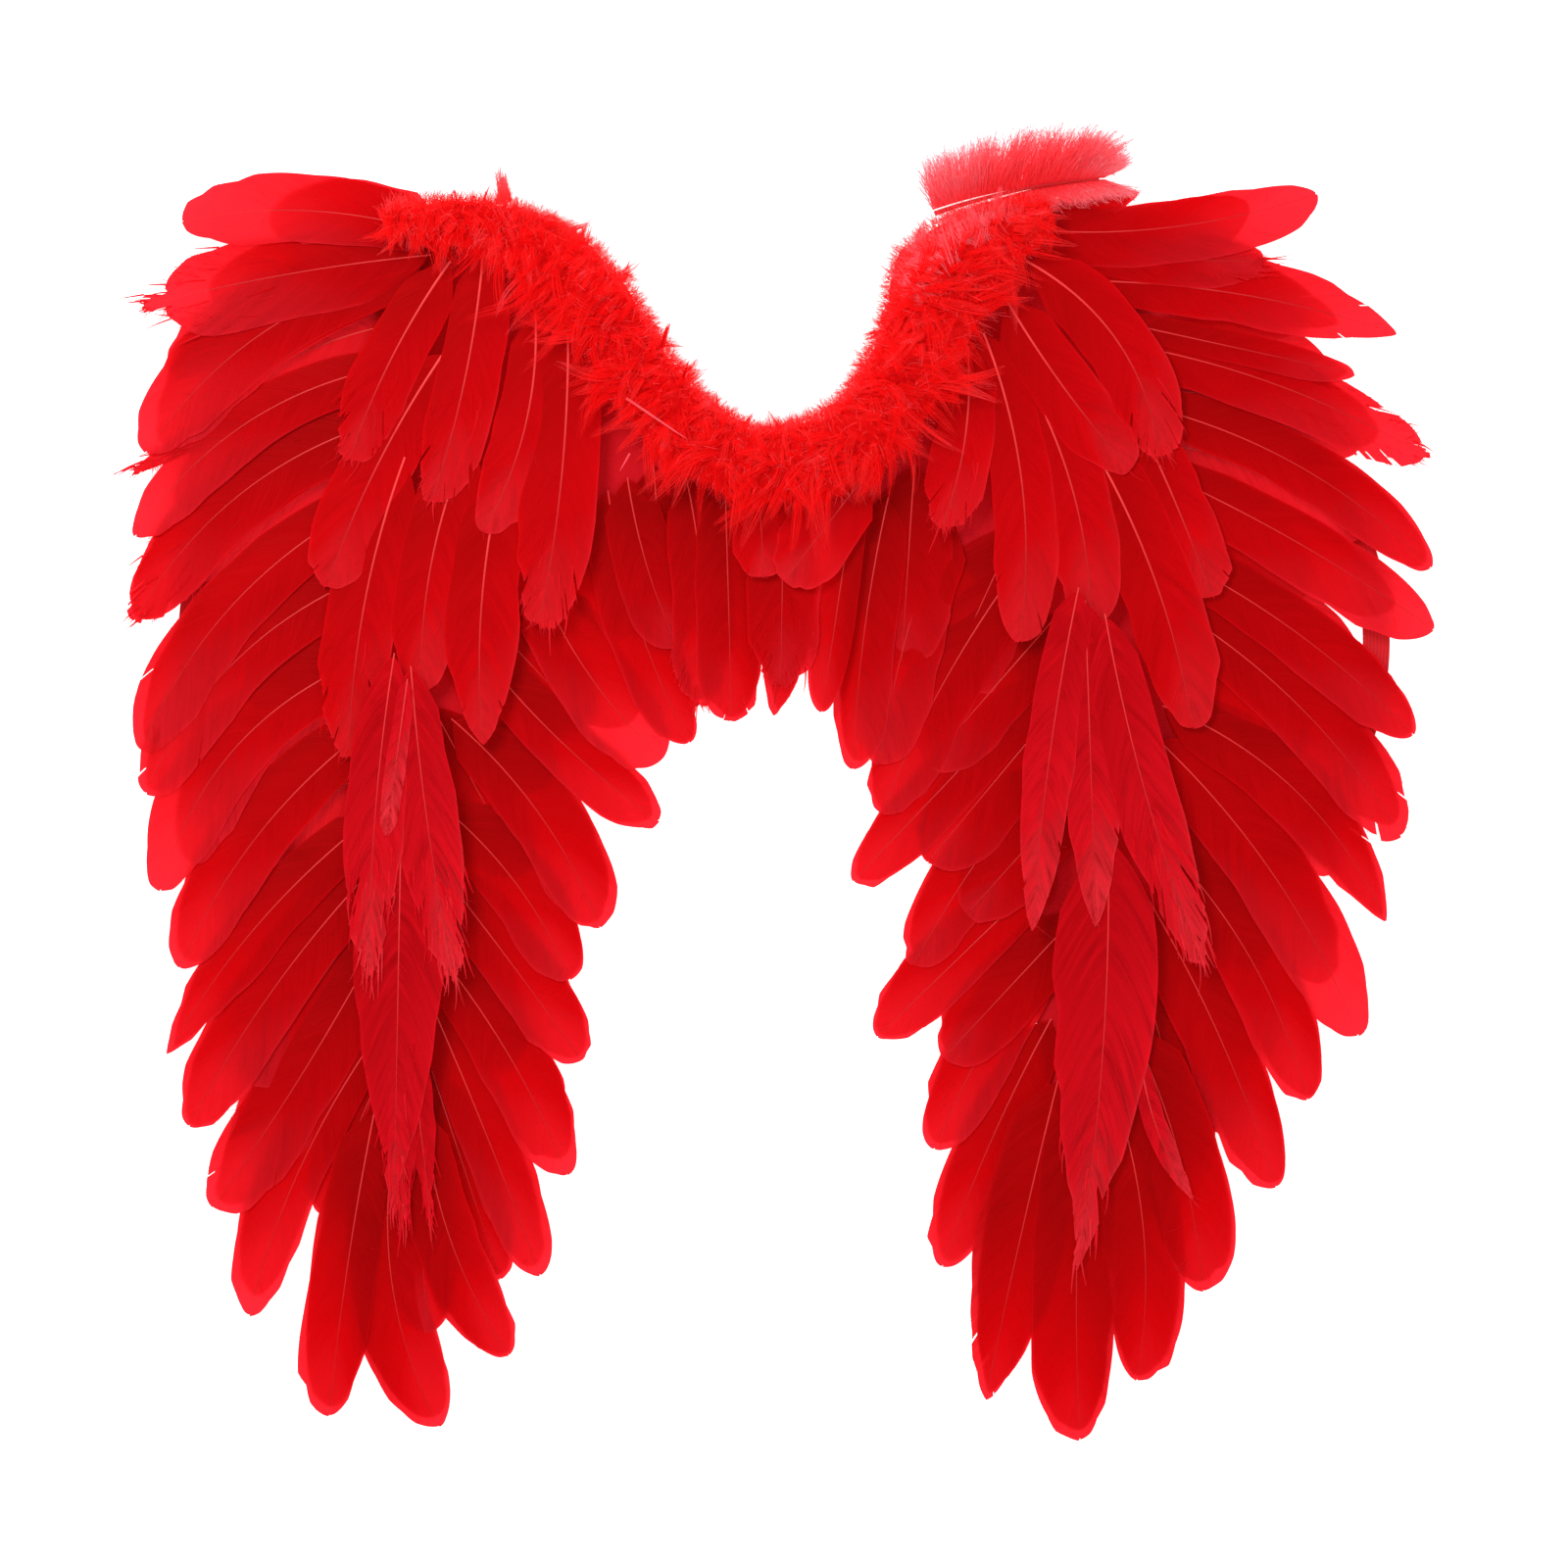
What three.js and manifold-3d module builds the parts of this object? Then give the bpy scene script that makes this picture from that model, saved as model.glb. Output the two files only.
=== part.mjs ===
// A pair of red feather angel wings that lies face up: a flat panel, rows of feathers on tapes,
// a fluffy trim along the upper edge and two elastic arm loops.
// Millimetres. +X is right and +Y is up as the wings are looked at, and +Z points away from the floor.

import * as THREE from 'three';
import Module from 'manifold-3d';

const wasm = await Module();
wasm.setup();

// Overall size
const HALF_SPAN = 300;
const HALF_HEIGHT = 300;

// Heights, from the floor up
const STRAP_THICK = 1.2;
const PANEL_THICK = 3;
const ROW_HIGH = 3.6;
const TRIM_HIGH = 17;
const GAP = 0.3;

// Feathers
const VANE_WIDE = 36;
const SHAFT_HIGH = 1.5;
const VANE_CAMBER = 0.9;
const VANE_ROLL = 0.7;
const TAPE_WIDE = 11;
const PLUME_WIDE = 26;
const TIP_DROOP = 3.4;

// Elastic arm loops
const STRAP_WIDE = 12.5;
const STRAP_REACH = 105;
const STRAP_RISE = 120;
const STRAP_TAIL = 20;

// Fluffy trim
const TRIM_REACH = 28.5;
const TRIM_LUMP = 1.8;
const TRIM_LUMP_LONG = 38;
const TRIM_JOINT = 1;
const SKIRT_CLEAR = 2;
const SKIRT_FLOOR = 2;
const PANEL_INSET = 3;

// Places, as percent of HALF_SPAN across and of HALF_HEIGHT up
const STRAP_ROOT = { x: 56, y: 22 };
const DROOP_SIDE = 67;
const DROOP_FOOT = 58;

// Shares of the trim's length at which it is cut into three
const TRIM_CUTS = [0.43, 0.62];

// How finely curves are cut
const TAPE_STEPS = 8;
const STRAP_STEPS = 14;
const TRIM_STEPS = 12;
const EDGE_STEPS = 18;
const LOBE_STEPS = 52;
const SLIVER = 0.02;

const PERCENT = 0.01;

const FEATHER_COLUMNS = ['rootX', 'rootY', 'tipX', 'tipY', 'wide', 'bow'];
// rootX, tipX and bow in percent of HALF_SPAN, rootY and tipY in percent of HALF_HEIGHT, wide in percent
// of VANE_WIDE. A feather with a positive bow bends to the left on its way to the tip.

const UNDER_LEFT = [
  [-48, 83, -79.5, 83, 75, 0],
  [-52, 79, -86.5, 72, 83, -1],
  [-57, 71, -92, 54, 83, -3],
  [-60, 60, -94, 42, 88, -4],
  [-61, 50, -92.5, 31, 88, -4],
  [-61, 34, -93, 12, 88, -4],
  [-62, 17, -89, -7, 88, -4],
  [-62, 3, -85.5, -22, 88, -3],
  [-62, -14, -84.5, -45, 83, -2],
  [-61, -28, -80.5, -61, 79, -2],
];

const OUTER_LEFT = [
  [-52, 87.5, -92, 85.5, 88, -2.8],
  [-54, 82, -98, 73, 92, -1.1],
  [-56, 79, -98.2, 50.8, 100, -4],
  [-60, 64, -99, 39, 92, -5.7],
  [-60, 60, -99.7, 47.3, 42, -3],
  [-60, 56, -100, 25, 100, -5.9],
  [-62, 44, -99, 5.5, 100, -5.7],
  [-61, 33, -98, -1.5, 92, -5.7],
  [-62, 20, -96, -16.2, 100, -6.4],
  [-63, 9, -93.3, -28.3, 100, -3.4],
  [-63, -5, -95, -41.5, 75, -2.6],
  [-62, -12, -91.3, -52.5, 104, -2.4],
  [-62, -24, -88.3, -65, 104, 1],
  [-62, -38, -82.2, -81.5, 96, -2.2],
];

const FAN_LEFT = [
  [-63, -50, -69.8, -96.7, 100, -2],
  [-59, -52, -51.7, -98.3, 104, -4.5],
  [-55, -50, -41, -87.3, 96, -2.9],
];

const INNER_LEFT = [
  [-9, 46, -8, 9.5, 71, 0],
  [-15, 47, -12.5, 12, 75, 1.4],
  [-24, 47, -16.3, 21, 83, -1],
  [-27, 45, -14.5, 6.3, 88, -1.8],
  [-38, 32, -18.5, 3.8, 108, -2],
  [-46, 20, -18.8, -5.8, 96, -1.2],
  [-51, 10, -28, -22, 100, 3.3],
  [-53, -3, -32.5, -30, 100, 3.2],
  [-53, -13, -30.5, -42.5, 100, 1.3],
  [-53, -26, -33, -60, 100, 3.4],
  [-54, -34, -36.8, -75.3, 100, 1],
];

const COVERT_LEFT = [
  [-51, 80, -66.5, 49.5, 83, -1.3],
  [-52, 66, -70, 30, 92, -1.4],
  [-46, 81, -54, 43, 75, 1.2],
  [-38, 72, -46, 38.5, 79, 2.5],
  [-33, 69, -37.5, 24, 100, 1.2],
  [-43.5, 46, -46, 5.8, 96, -1.6],
  [-48, 53, -55.5, 14, 83, -2.2],
  [-58, 50, -66.5, 4, 92, -2],
];

const SPINE_LEFT = [
  [-59.5, 20, -63, -30.3, 67, -1],
  [-58, 22, -61.7, -8, 29, 0],
  [-57, 18, -50.5, -31, 67, -0.8],
  [-58.5, -6, -60.5, -56, 88, 0],
  [-58.5, -42, -58.3, -68, 50, 0],
  [-57, -46, -51, -71, 42, 0],
];

const CENTRE_ROW = [
  [0, 46, -0.5, 15, 100, 0],
  [1, 45, -2.3, 10.3, 54, 0],
  [11, 46, 5, 11, 67, 0],
];

const CENTRE_COVERT = [
  [-4, 47, -3, 31.7, 75, 0],
  [13, 48, 0, 31, 92, 0],
];

const UNDER_RIGHT = [
  [44, 86, 68, 84, 50, 0],
  [49, 76, 80.5, 71, 79, 1],
  [53, 68, 84, 62.5, 83, 1.5],
  [55, 60, 88, 51, 88, 3],
  [56, 52, 88.5, 38, 88, 3.5],
  [57, 46, 85, 27, 88, 3.5],
  [58, 36, 90, 15, 88, 4],
  [58, 25, 88, 3, 88, 4],
  [58, 12, 84, -14, 83, 3],
  [57, 1, 82, -28, 88, 3],
  [56, -9, 74, -42, 88, 2],
  [55, -19, 69, -54, 83, 1],
  [52, -32, 58, -66, 83, 1],
];

const OUTER_RIGHT = [
  [44, 87, 81.5, 91, 75, -2.5],
  [42, 82, 73.5, 80, 67, -0.5],
  [48, 77, 94, 68.5, 83, 1.2],
  [50, 71, 87.5, 62.8, 42, 0],
  [51, 67.5, 98.7, 50, 96, 3.7],
  [55, 58, 99.5, 33, 100, 5],
  [57, 48, 99.8, 24, 92, 2],
  [59, 35, 96.5, 8, 92, 4],
  [58, 28, 94.3, -8, 96, 3],
  [58, 12, 92, -21, 88, 4.5],
  [57, 7, 88.5, -38, 112, 4.5],
  [57, -8, 80.5, -48.2, 96, 3.3],
  [56, -18, 76, -61.7, 96, 1.6],
];

const FAN_RIGHT = [
  [53, -37, 64.5, -77.5, 92, 1.2],
  [50, -46, 54, -91.3, 100, 3.5],
  [46, -48, 45.7, -100.3, 108, 0],
  [42, -45, 31, -94.3, 100, -0.7],
];

const INNER_RIGHT = [
  [41, -36, 24, -74, 88, -0.5],
  [43, -20, 22.3, -56, 96, -1],
  [42, -12, 14.3, -38.8, 83, 0],
  [41, 3, 19.8, -27.8, 88, -1],
  [40, 16, 10.6, -15, 83, 0],
  [35, 32, 15, -4.5, 96, -1.3],
  [25, 42, 14.5, 3, 100, -1],
  [16, 44, 9.9, 2.2, 67, -1],
];

const COVERT_RIGHT = [
  [28, 67, 24, 39, 79, 1.7],
  [30.5, 69, 36, 21.6, 83, 3.2],
  [36, 64, 47, 24, 92, 2.8],
  [47, 52, 62.5, 8.5, 100, 2.2],
  [34, 74, 53, 48, 83, -0.8],
  [37, 80, 57.5, 50, 92, 4.6],
  [53, 58, 65.5, 28.5, 79, 0.5],
];

const SPINE_RIGHT = [
  [45, 30, 38, -22.6, 67, -1],
  [46, 28, 47.7, -22, 75, 0],
  [48, 26, 64.5, -28.8, 75, -1],
  [50, -12, 44.5, -74, 125, 1],
  [51, -42, 63, -63.5, 33, 0],
];

// A tape's route: across in percent of HALF_SPAN, up in percent of HALF_HEIGHT
const UNDER_TAPE_LEFT = [[-48, 83], [-56, 72], [-61, 50], [-62, 18], [-62, -12], [-61, -50]];
const OUTER_TAPE_LEFT = [[-52, 88], [-56, 77], [-60.5, 58], [-62, 30], [-63, 0], [-62, -28], [-60, -51]];
const FAN_TAPE_LEFT = [[-64.5, -46], [-59.5, -51], [-53.5, -47.5]];
const INNER_TAPE_LEFT = [
  [-7, 45], [-16, 47], [-27, 44.5], [-38, 33], [-46, 21], [-51, 8], [-53.5, -12], [-53.5, -37],
];
const COVERT_TAPE_LEFT = [[-55, 79.5], [-46, 80.5], [-38, 74], [-31, 67.5]];
const SPINE_TAPE_LEFT = [[-58, 42], [-58.5, 0], [-58, -51]];
const CENTRE_TAPE = [[-8, 45.5], [3, 45.5], [15, 45.5]];
const COVERT_TAPE_CENTRE = [[-7, 46], [4, 46], [14, 47.5]];
const UNDER_TAPE_RIGHT = [[43, 85], [50, 75], [55, 60], [58, 42], [58.5, 20], [57, 0], [55, -20], [50, -44]];
const OUTER_TAPE_RIGHT = [
  [43, 88], [47, 79], [52, 68], [57, 52], [59, 36], [59, 14], [57, -6], [54, -24], [50.5, -45],
];
const FAN_TAPE_RIGHT = [[54, -35], [51, -45], [46, -49.5], [41, -44]];
const INNER_TAPE_RIGHT = [[14, 44.5], [24, 42.5], [33, 34], [39, 18], [41.5, 0], [43.5, -17], [41, -39]];
const COVERT_TAPE_RIGHT = [[26.5, 66], [31, 71], [36, 78], [46, 80.5]];
const SPINE_TAPE_RIGHT = [[46, 36], [47, 18], [49, 0], [50.5, -20], [50.5, -45]];

// The trim: its route as above, its half width in percent of TRIM_REACH, and how far its outer side hangs
// down towards the floor, from 0 to 1
const TRIM_COLUMNS = ['x', 'y', 'half', 'skirt'];
const TRIM_ROUTE = [
  [-61, 86, 32, 0],
  [-52, 86, 53, 0],
  [-44, 84.5, 63, 1],
  [-36, 79.5, 79, 1],
  [-28, 72, 84, 1],
  [-21.5, 62, 79, 1],
  [-14, 53.5, 79, 1],
  [-5, 49, 72, 1],
  [4, 49.5, 79, 1],
  [13.5, 55, 84, 1],
  [21, 68, 90, 0.9],
  [24.5, 76.5, 95, 0.1],
  [31, 83, 74, 0],
  [41, 87, 37, 0],
];

// The panel's lower outline, from the top of the right wing round to the top of the left wing
const PANEL_LOBES = [
  [43, 85], [50, 82], [57, 70], [61, 50], [62, 20], [60, -10], [57, -35], [51, -56],
  [44, -57], [39, -40], [38, -15], [37, 10], [32, 28], [22, 38], [8, 42],
  [-10, 42], [-26, 37], [-38, 22], [-46, 4], [-49, -25], [-52, -50],
  [-59, -58], [-65, -48], [-67, -20], [-67, 30], [-65, 62], [-60, 82],
];

// The loose plume: its quill from the root to the tip, and a vane that is wider on its upper side.
// along runs from 0 to 1, and left and right are percent of PLUME_WIDE.
const PLUME_QUILL = { rootX: 23, rootY: 87.5, tipX: 54, tipY: 93.2, bow: 0.9 };
const PLUME_VANE = [
  { along: 0, left: 62, right: 20, shaft: 240 },
  { along: 0.12, left: 84, right: 34, shaft: 240 },
  { along: 0.35, left: 96, right: 44, shaft: 150 },
  { along: 0.6, left: 100, right: 40, shaft: 70 },
  { along: 0.82, left: 84, right: 32, shaft: 50 },
  { along: 0.95, left: 40, right: 20, shaft: 30 },
  { along: 1, left: 12, right: 8, shaft: 25 },
];

// A common feather: half widths in percent of its half width, shaft in percent of SHAFT_HIGH
const VANE = [
  { along: 0, left: 12, right: 12, shaft: 100 },
  { along: 0.17, left: 62, right: 62, shaft: 100 },
  { along: 0.42, left: 93, right: 93, shaft: 90 },
  { along: 0.68, left: 100, right: 100, shaft: 70 },
  { along: 0.89, left: 70, right: 70, shaft: 50 },
  { along: 1, left: 8, right: 8, shaft: 30 },
];

// The trim's crown, from its outer side round: across in shares of the half width, up in shares of its height
const TRIM_CROWN = [
  { across: 1, up: 0.3 },
  { across: 0.62, up: 0.8 },
  { across: 0.05, up: 1 },
  { across: -0.6, up: 0.78 },
  { across: -1, up: 0.25 },
];
const TRIM_FOOT_INNER = -0.75;
const SKIRT_OUTER = 0.8;
const SKIRT_HEM = 0.35;

const RED = 0xe01020;
const DEEP_RED = 0xb80818;
const DUSTY_RED = 0xc81e30;

const across = (share) => share * PERCENT * HALF_SPAN;
const up = (share) => share * PERCENT * HALF_HEIGHT;
const place = ([x, y]) => new THREE.Vector2(across(x), up(y));

const PANEL_FLOOR = STRAP_THICK + GAP;
const rowFloor = (row) => PANEL_FLOOR + PANEL_THICK + GAP + row * (ROW_HIGH + GAP);

// Names for the levels in which the rows lie, so that no two rows can meet
const LEVEL = { first: 0, second: 1, third: 2, fourth: 3 };

// How far a point beyond the panel hangs down
function droop(x, y) {
  const side = Math.max(0, Math.abs(x) - across(DROOP_SIDE)) / (HALF_SPAN - across(DROOP_SIDE));
  const foot = Math.max(0, -y - up(DROOP_FOOT)) / (HALF_HEIGHT - up(DROOP_FOOT));
  return TIP_DROOP * Math.min(1, side * side + foot * foot);
}

// A closed body through rings of points, each ring anticlockwise as seen from the next
function skin(rings) {
  const count = rings[0].length;
  const points = rings.flat();
  const faces = [];
  for (let ring = 0; ring + 1 < rings.length; ring += 1) {
    for (let corner = 0; corner < count; corner += 1) {
      const next = (corner + 1) % count;
      const near = ring * count;
      const far = near + count;
      faces.push([near + corner, near + next, far + next]);
      faces.push([near + corner, far + next, far + corner]);
    }
  }
  const last = (rings.length - 1) * count;
  const cap = THREE.ShapeUtils.triangulateShape(rings[0].map((point) => point.flat), []);
  const capEnd = THREE.ShapeUtils.triangulateShape(rings[rings.length - 1].map((point) => point.flat), []);
  for (const [a, b, c] of cap) {
    faces.push([c, b, a]);
  }
  for (const [a, b, c] of capEnd) {
    faces.push([last + a, last + b, last + c]);
  }
  return new wasm.Manifold(new wasm.Mesh({
    numProp: 3,
    vertProperties: new Float32Array(points.flatMap((point) => [point.x, point.y, point.z])),
    triVerts: new Uint32Array(faces.flat()),
  }));
}

// A ring of a section set across a route: offsets to the left of the route, and heights
function ringAt(centre, along, section) {
  const left = new THREE.Vector2(-along.y, along.x).normalize();
  return section.map(({ side, height }) => ({
    x: centre.x + left.x * side,
    y: centre.y + left.y * side,
    z: height,
    flat: new THREE.Vector2(side, height),
  }));
}

// A feather as one closed body: a raised shaft between two thin, sloping vanes
function feather(quill, vane, wide, level) {
  const root = place([quill.rootX, quill.rootY]);
  const tip = place([quill.tipX, quill.tipY]);
  const left = new THREE.Vector2(root.y - tip.y, tip.x - root.x).normalize();
  const bend = root.clone().add(tip).multiplyScalar(0.5).addScaledVector(left, 2 * across(quill.bow));
  const route = new THREE.QuadraticBezierCurve(root, bend, tip);
  const middle = rowFloor(level) + ROW_HIGH / 2;
  const rings = vane.map((station) => {
    const centre = route.getPoint(station.along);
    const shaft = SHAFT_HIGH * station.shaft * PERCENT / 2;
    const height = middle - droop(centre.x, centre.y);
    const leftHalf = wide * station.left * PERCENT;
    const rightHalf = wide * station.right * PERCENT;
    const leftShare = station.left * PERCENT;
    const rightShare = station.right * PERCENT;
    return ringAt(centre, route.getTangent(station.along), [
      { side: -rightHalf, height: height - (VANE_CAMBER + VANE_ROLL) * rightShare },
      { side: 0, height: height - shaft },
      { side: leftHalf, height: height - (VANE_CAMBER - VANE_ROLL) * leftShare },
      { side: 0, height: height + shaft },
    ]);
  });
  return skin(rings);
}

// A flat tape that fills its level, along a smooth route
function tape(points, level) {
  const route = new THREE.SplineCurve(points.map(place));
  const floor = rowFloor(level);
  const section = [
    { side: -TAPE_WIDE / 2, height: floor },
    { side: TAPE_WIDE / 2, height: floor },
    { side: TAPE_WIDE / 2, height: floor + ROW_HIGH },
    { side: -TAPE_WIDE / 2, height: floor + ROW_HIGH },
  ];
  const rings = [];
  for (let step = 0; step <= TAPE_STEPS; step += 1) {
    const share = step / TAPE_STEPS;
    rings.push(ringAt(route.getPointAt(share), route.getTangentAt(share), section));
  }
  return skin(rings);
}

function readRow(columns, values) {
  return Object.fromEntries(columns.map((name, index) => [name, values[index]]));
}

// A row of feathers, fused to the tape along their roots
function featherRow(table, tapeRoute, level) {
  const solids = table.map((values) => {
    const quill = readRow(FEATHER_COLUMNS, values);
    return feather(quill, VANE, VANE_WIDE * quill.wide * PERCENT / 2, level);
  });
  solids.push(tape(tapeRoute, level));
  return wasm.Manifold.union(solids).simplify(SLIVER);
}

// One elastic loop, flat on the floor: half of an oval that starts and ends under the panel
function strap(side) {
  const centre = place([side * STRAP_ROOT.x, STRAP_ROOT.y]);
  const section = [
    { side: -STRAP_WIDE / 2, height: 0 },
    { side: STRAP_WIDE / 2, height: 0 },
    { side: STRAP_WIDE / 2, height: STRAP_THICK },
    { side: -STRAP_WIDE / 2, height: STRAP_THICK },
  ];
  const inward = new THREE.Vector2(-side, 0);
  const rings = [];
  const addRing = (point, along) => rings.push(ringAt(point, along, section));
  const lowEnd = new THREE.Vector2(centre.x, centre.y - STRAP_RISE);
  const highEnd = new THREE.Vector2(centre.x, centre.y + STRAP_RISE);
  addRing(lowEnd.clone().addScaledVector(inward, STRAP_TAIL), inward.clone().negate());
  for (let step = 0; step <= STRAP_STEPS; step += 1) {
    const angle = Math.PI * (step / STRAP_STEPS - 0.5);
    const point = new THREE.Vector2(
      centre.x + side * STRAP_REACH * Math.cos(angle),
      centre.y + STRAP_RISE * Math.sin(angle),
    );
    const along = new THREE.Vector2(
      -side * STRAP_REACH * Math.sin(angle),
      STRAP_RISE * Math.cos(angle),
    );
    addRing(point, along);
  }
  addRing(highEnd.clone().addScaledVector(inward, STRAP_TAIL), inward);
  return skin(rings);
}

const TRIM_TABLE = TRIM_ROUTE.map((values) => readRow(TRIM_COLUMNS, values));
const TRIM_CURVE = new THREE.SplineCurve(TRIM_TABLE.map(({ x, y }) => place([x, y])));
const TRIM_LONG = TRIM_CURVE.getLength();

// A column of the trim's table at a share of the route's length
function trimValue(column, share) {
  const position = TRIM_CURVE.getUtoTmapping(share) * (TRIM_TABLE.length - 1);
  const index = Math.min(Math.floor(position), TRIM_TABLE.length - 2);
  const from = TRIM_TABLE[index][column];
  const to = TRIM_TABLE[index + 1][column];
  return from + (to - from) * (position - index);
}

// The fluffy trim between two shares of its route: a low roll on the rows, with an outer side that hangs down
function trim(start, end) {
  const rings = [];
  const floor = rowFloor(LEVEL.fourth);
  for (let step = 0; step <= TRIM_STEPS; step += 1) {
    const share = start + (end - start) * step / TRIM_STEPS;
    const lump = TRIM_LUMP * Math.sin(2 * Math.PI * share * TRIM_LONG / TRIM_LUMP_LONG);
    const half = trimValue('half', share) * PERCENT * TRIM_REACH + lump;
    const high = TRIM_HIGH * Math.sqrt(half / TRIM_REACH) + lump;
    const hem = floor - trimValue('skirt', share) * (floor - SKIRT_FLOOR);
    const section = [
      { side: TRIM_FOOT_INNER * half, height: floor },
      { side: SKIRT_CLEAR, height: floor },
      { side: 2 * SKIRT_CLEAR, height: hem },
      { side: SKIRT_OUTER * half, height: hem },
      { side: half, height: hem + (floor - hem) * SKIRT_HEM + high * TRIM_CROWN[0].up / 2 },
      ...TRIM_CROWN.map((point) => ({ side: point.across * half, height: floor + point.up * high })),
    ];
    rings.push(ringAt(TRIM_CURVE.getPointAt(share), TRIM_CURVE.getTangentAt(share), section));
  }
  return skin(rings);
}

// The flat panel: its upper edge follows the trim, its lobes carry the rows
function panel() {
  const shape = new THREE.Shape();
  const outline = [];
  for (let step = 0; step <= EDGE_STEPS; step += 1) {
    const share = step / EDGE_STEPS;
    const point = TRIM_CURVE.getPointAt(share);
    const along = TRIM_CURVE.getTangentAt(share);
    outline.push(new THREE.Vector2(point.x + along.y * PANEL_INSET, point.y - along.x * PANEL_INSET));
  }
  const lobes = new THREE.SplineCurve(PANEL_LOBES.map(place));
  outline.push(...lobes.getSpacedPoints(LOBE_STEPS));
  shape.setFromPoints(outline);
  const body = new THREE.ExtrudeGeometry(shape, { depth: PANEL_THICK, bevelEnabled: false });
  return body.translate(0, 0, PANEL_FLOOR);
}

// A solid as plain three.js geometry
function geometryOf(solid) {
  const made = solid.getMesh();
  const geometry = new THREE.BufferGeometry();
  geometry.setAttribute('position', new THREE.BufferAttribute(made.vertProperties, made.numProp));
  geometry.setIndex(new THREE.BufferAttribute(made.triVerts, 1));
  geometry.computeVertexNormals();
  return geometry;
}

const vaneFinish = () => new THREE.MeshStandardMaterial({ color: RED, roughness: 0.62, metalness: 0 });
const spineFinish = () => new THREE.MeshStandardMaterial({ color: DUSTY_RED, roughness: 0.7, metalness: 0 });
const fluffFinish = () => new THREE.MeshStandardMaterial({ color: RED, roughness: 0.9, metalness: 0 });
const elasticFinish = () => new THREE.MeshStandardMaterial({ color: DEEP_RED, roughness: 0.8, metalness: 0 });
const panelFinish = () => new THREE.MeshStandardMaterial({ color: DEEP_RED, roughness: 0.95, metalness: 0 });

const wings = new THREE.Group();

function add(name, geometry, finish) {
  const mesh = new THREE.Mesh(geometry, finish);
  mesh.name = name;
  wings.add(mesh);
}

function addRow(name, table, tapeRoute, level, finish) {
  add(name, geometryOf(featherRow(table, tapeRoute, level)), finish);
}

add('elastic_strap_left', geometryOf(strap(-1)), elasticFinish());
add('elastic_strap_right', geometryOf(strap(1)), elasticFinish());
add('back_panel', panel(), panelFinish());

addRow('under_row_left', UNDER_LEFT, UNDER_TAPE_LEFT, LEVEL.first, vaneFinish());
addRow('under_row_right', UNDER_RIGHT, UNDER_TAPE_RIGHT, LEVEL.first, vaneFinish());
addRow('inner_row_left', INNER_LEFT, INNER_TAPE_LEFT, LEVEL.first, vaneFinish());
addRow('inner_row_right', INNER_RIGHT, INNER_TAPE_RIGHT, LEVEL.first, vaneFinish());

addRow('outer_row_left', OUTER_LEFT, OUTER_TAPE_LEFT, LEVEL.second, vaneFinish());
addRow('outer_row_right', OUTER_RIGHT, OUTER_TAPE_RIGHT, LEVEL.second, vaneFinish());
addRow('centre_row', CENTRE_ROW, CENTRE_TAPE, LEVEL.second, vaneFinish());

addRow('tip_fan_left', FAN_LEFT, FAN_TAPE_LEFT, LEVEL.third, vaneFinish());
addRow('tip_fan_right', FAN_RIGHT, FAN_TAPE_RIGHT, LEVEL.third, vaneFinish());
addRow('covert_row_left', COVERT_LEFT, COVERT_TAPE_LEFT, LEVEL.third, vaneFinish());
addRow('covert_row_right', COVERT_RIGHT, COVERT_TAPE_RIGHT, LEVEL.third, vaneFinish());
addRow('centre_coverts', CENTRE_COVERT, COVERT_TAPE_CENTRE, LEVEL.third, vaneFinish());
add('marabou_plume', geometryOf(feather(PLUME_QUILL, PLUME_VANE, PLUME_WIDE, LEVEL.third)), fluffFinish());

addRow('spine_row_left', SPINE_LEFT, SPINE_TAPE_LEFT, LEVEL.fourth, spineFinish());
addRow('spine_row_right', SPINE_RIGHT, SPINE_TAPE_RIGHT, LEVEL.fourth, spineFinish());

const jointShare = TRIM_JOINT / TRIM_LONG;
add('marabou_trim_left', geometryOf(trim(0, TRIM_CUTS[0])), fluffFinish());
add('marabou_trim_centre', geometryOf(trim(TRIM_CUTS[0] + jointShare, TRIM_CUTS[1])), fluffFinish());
add('marabou_trim_right', geometryOf(trim(TRIM_CUTS[1] + jointShare, 1)), fluffFinish());

// The frame's origin is below the middle of the wings, on the floor
const middle = new THREE.Box3().setFromObject(wings).getCenter(new THREE.Vector3());
wings.position.set(-middle.x, -middle.y, 0);

export default wings;
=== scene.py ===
"""Dresses a pair of red feather angel wings, face up on a pale floor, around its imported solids.

Metres. +X is right and +Y is up as the wings are looked at, and +Z points away from the floor.
Places in the tables are in grid units: hundredths of the half span, from the middle of the picture.
"""

import logging
import math
from dataclasses import dataclass, replace
from enum import Enum

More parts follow.
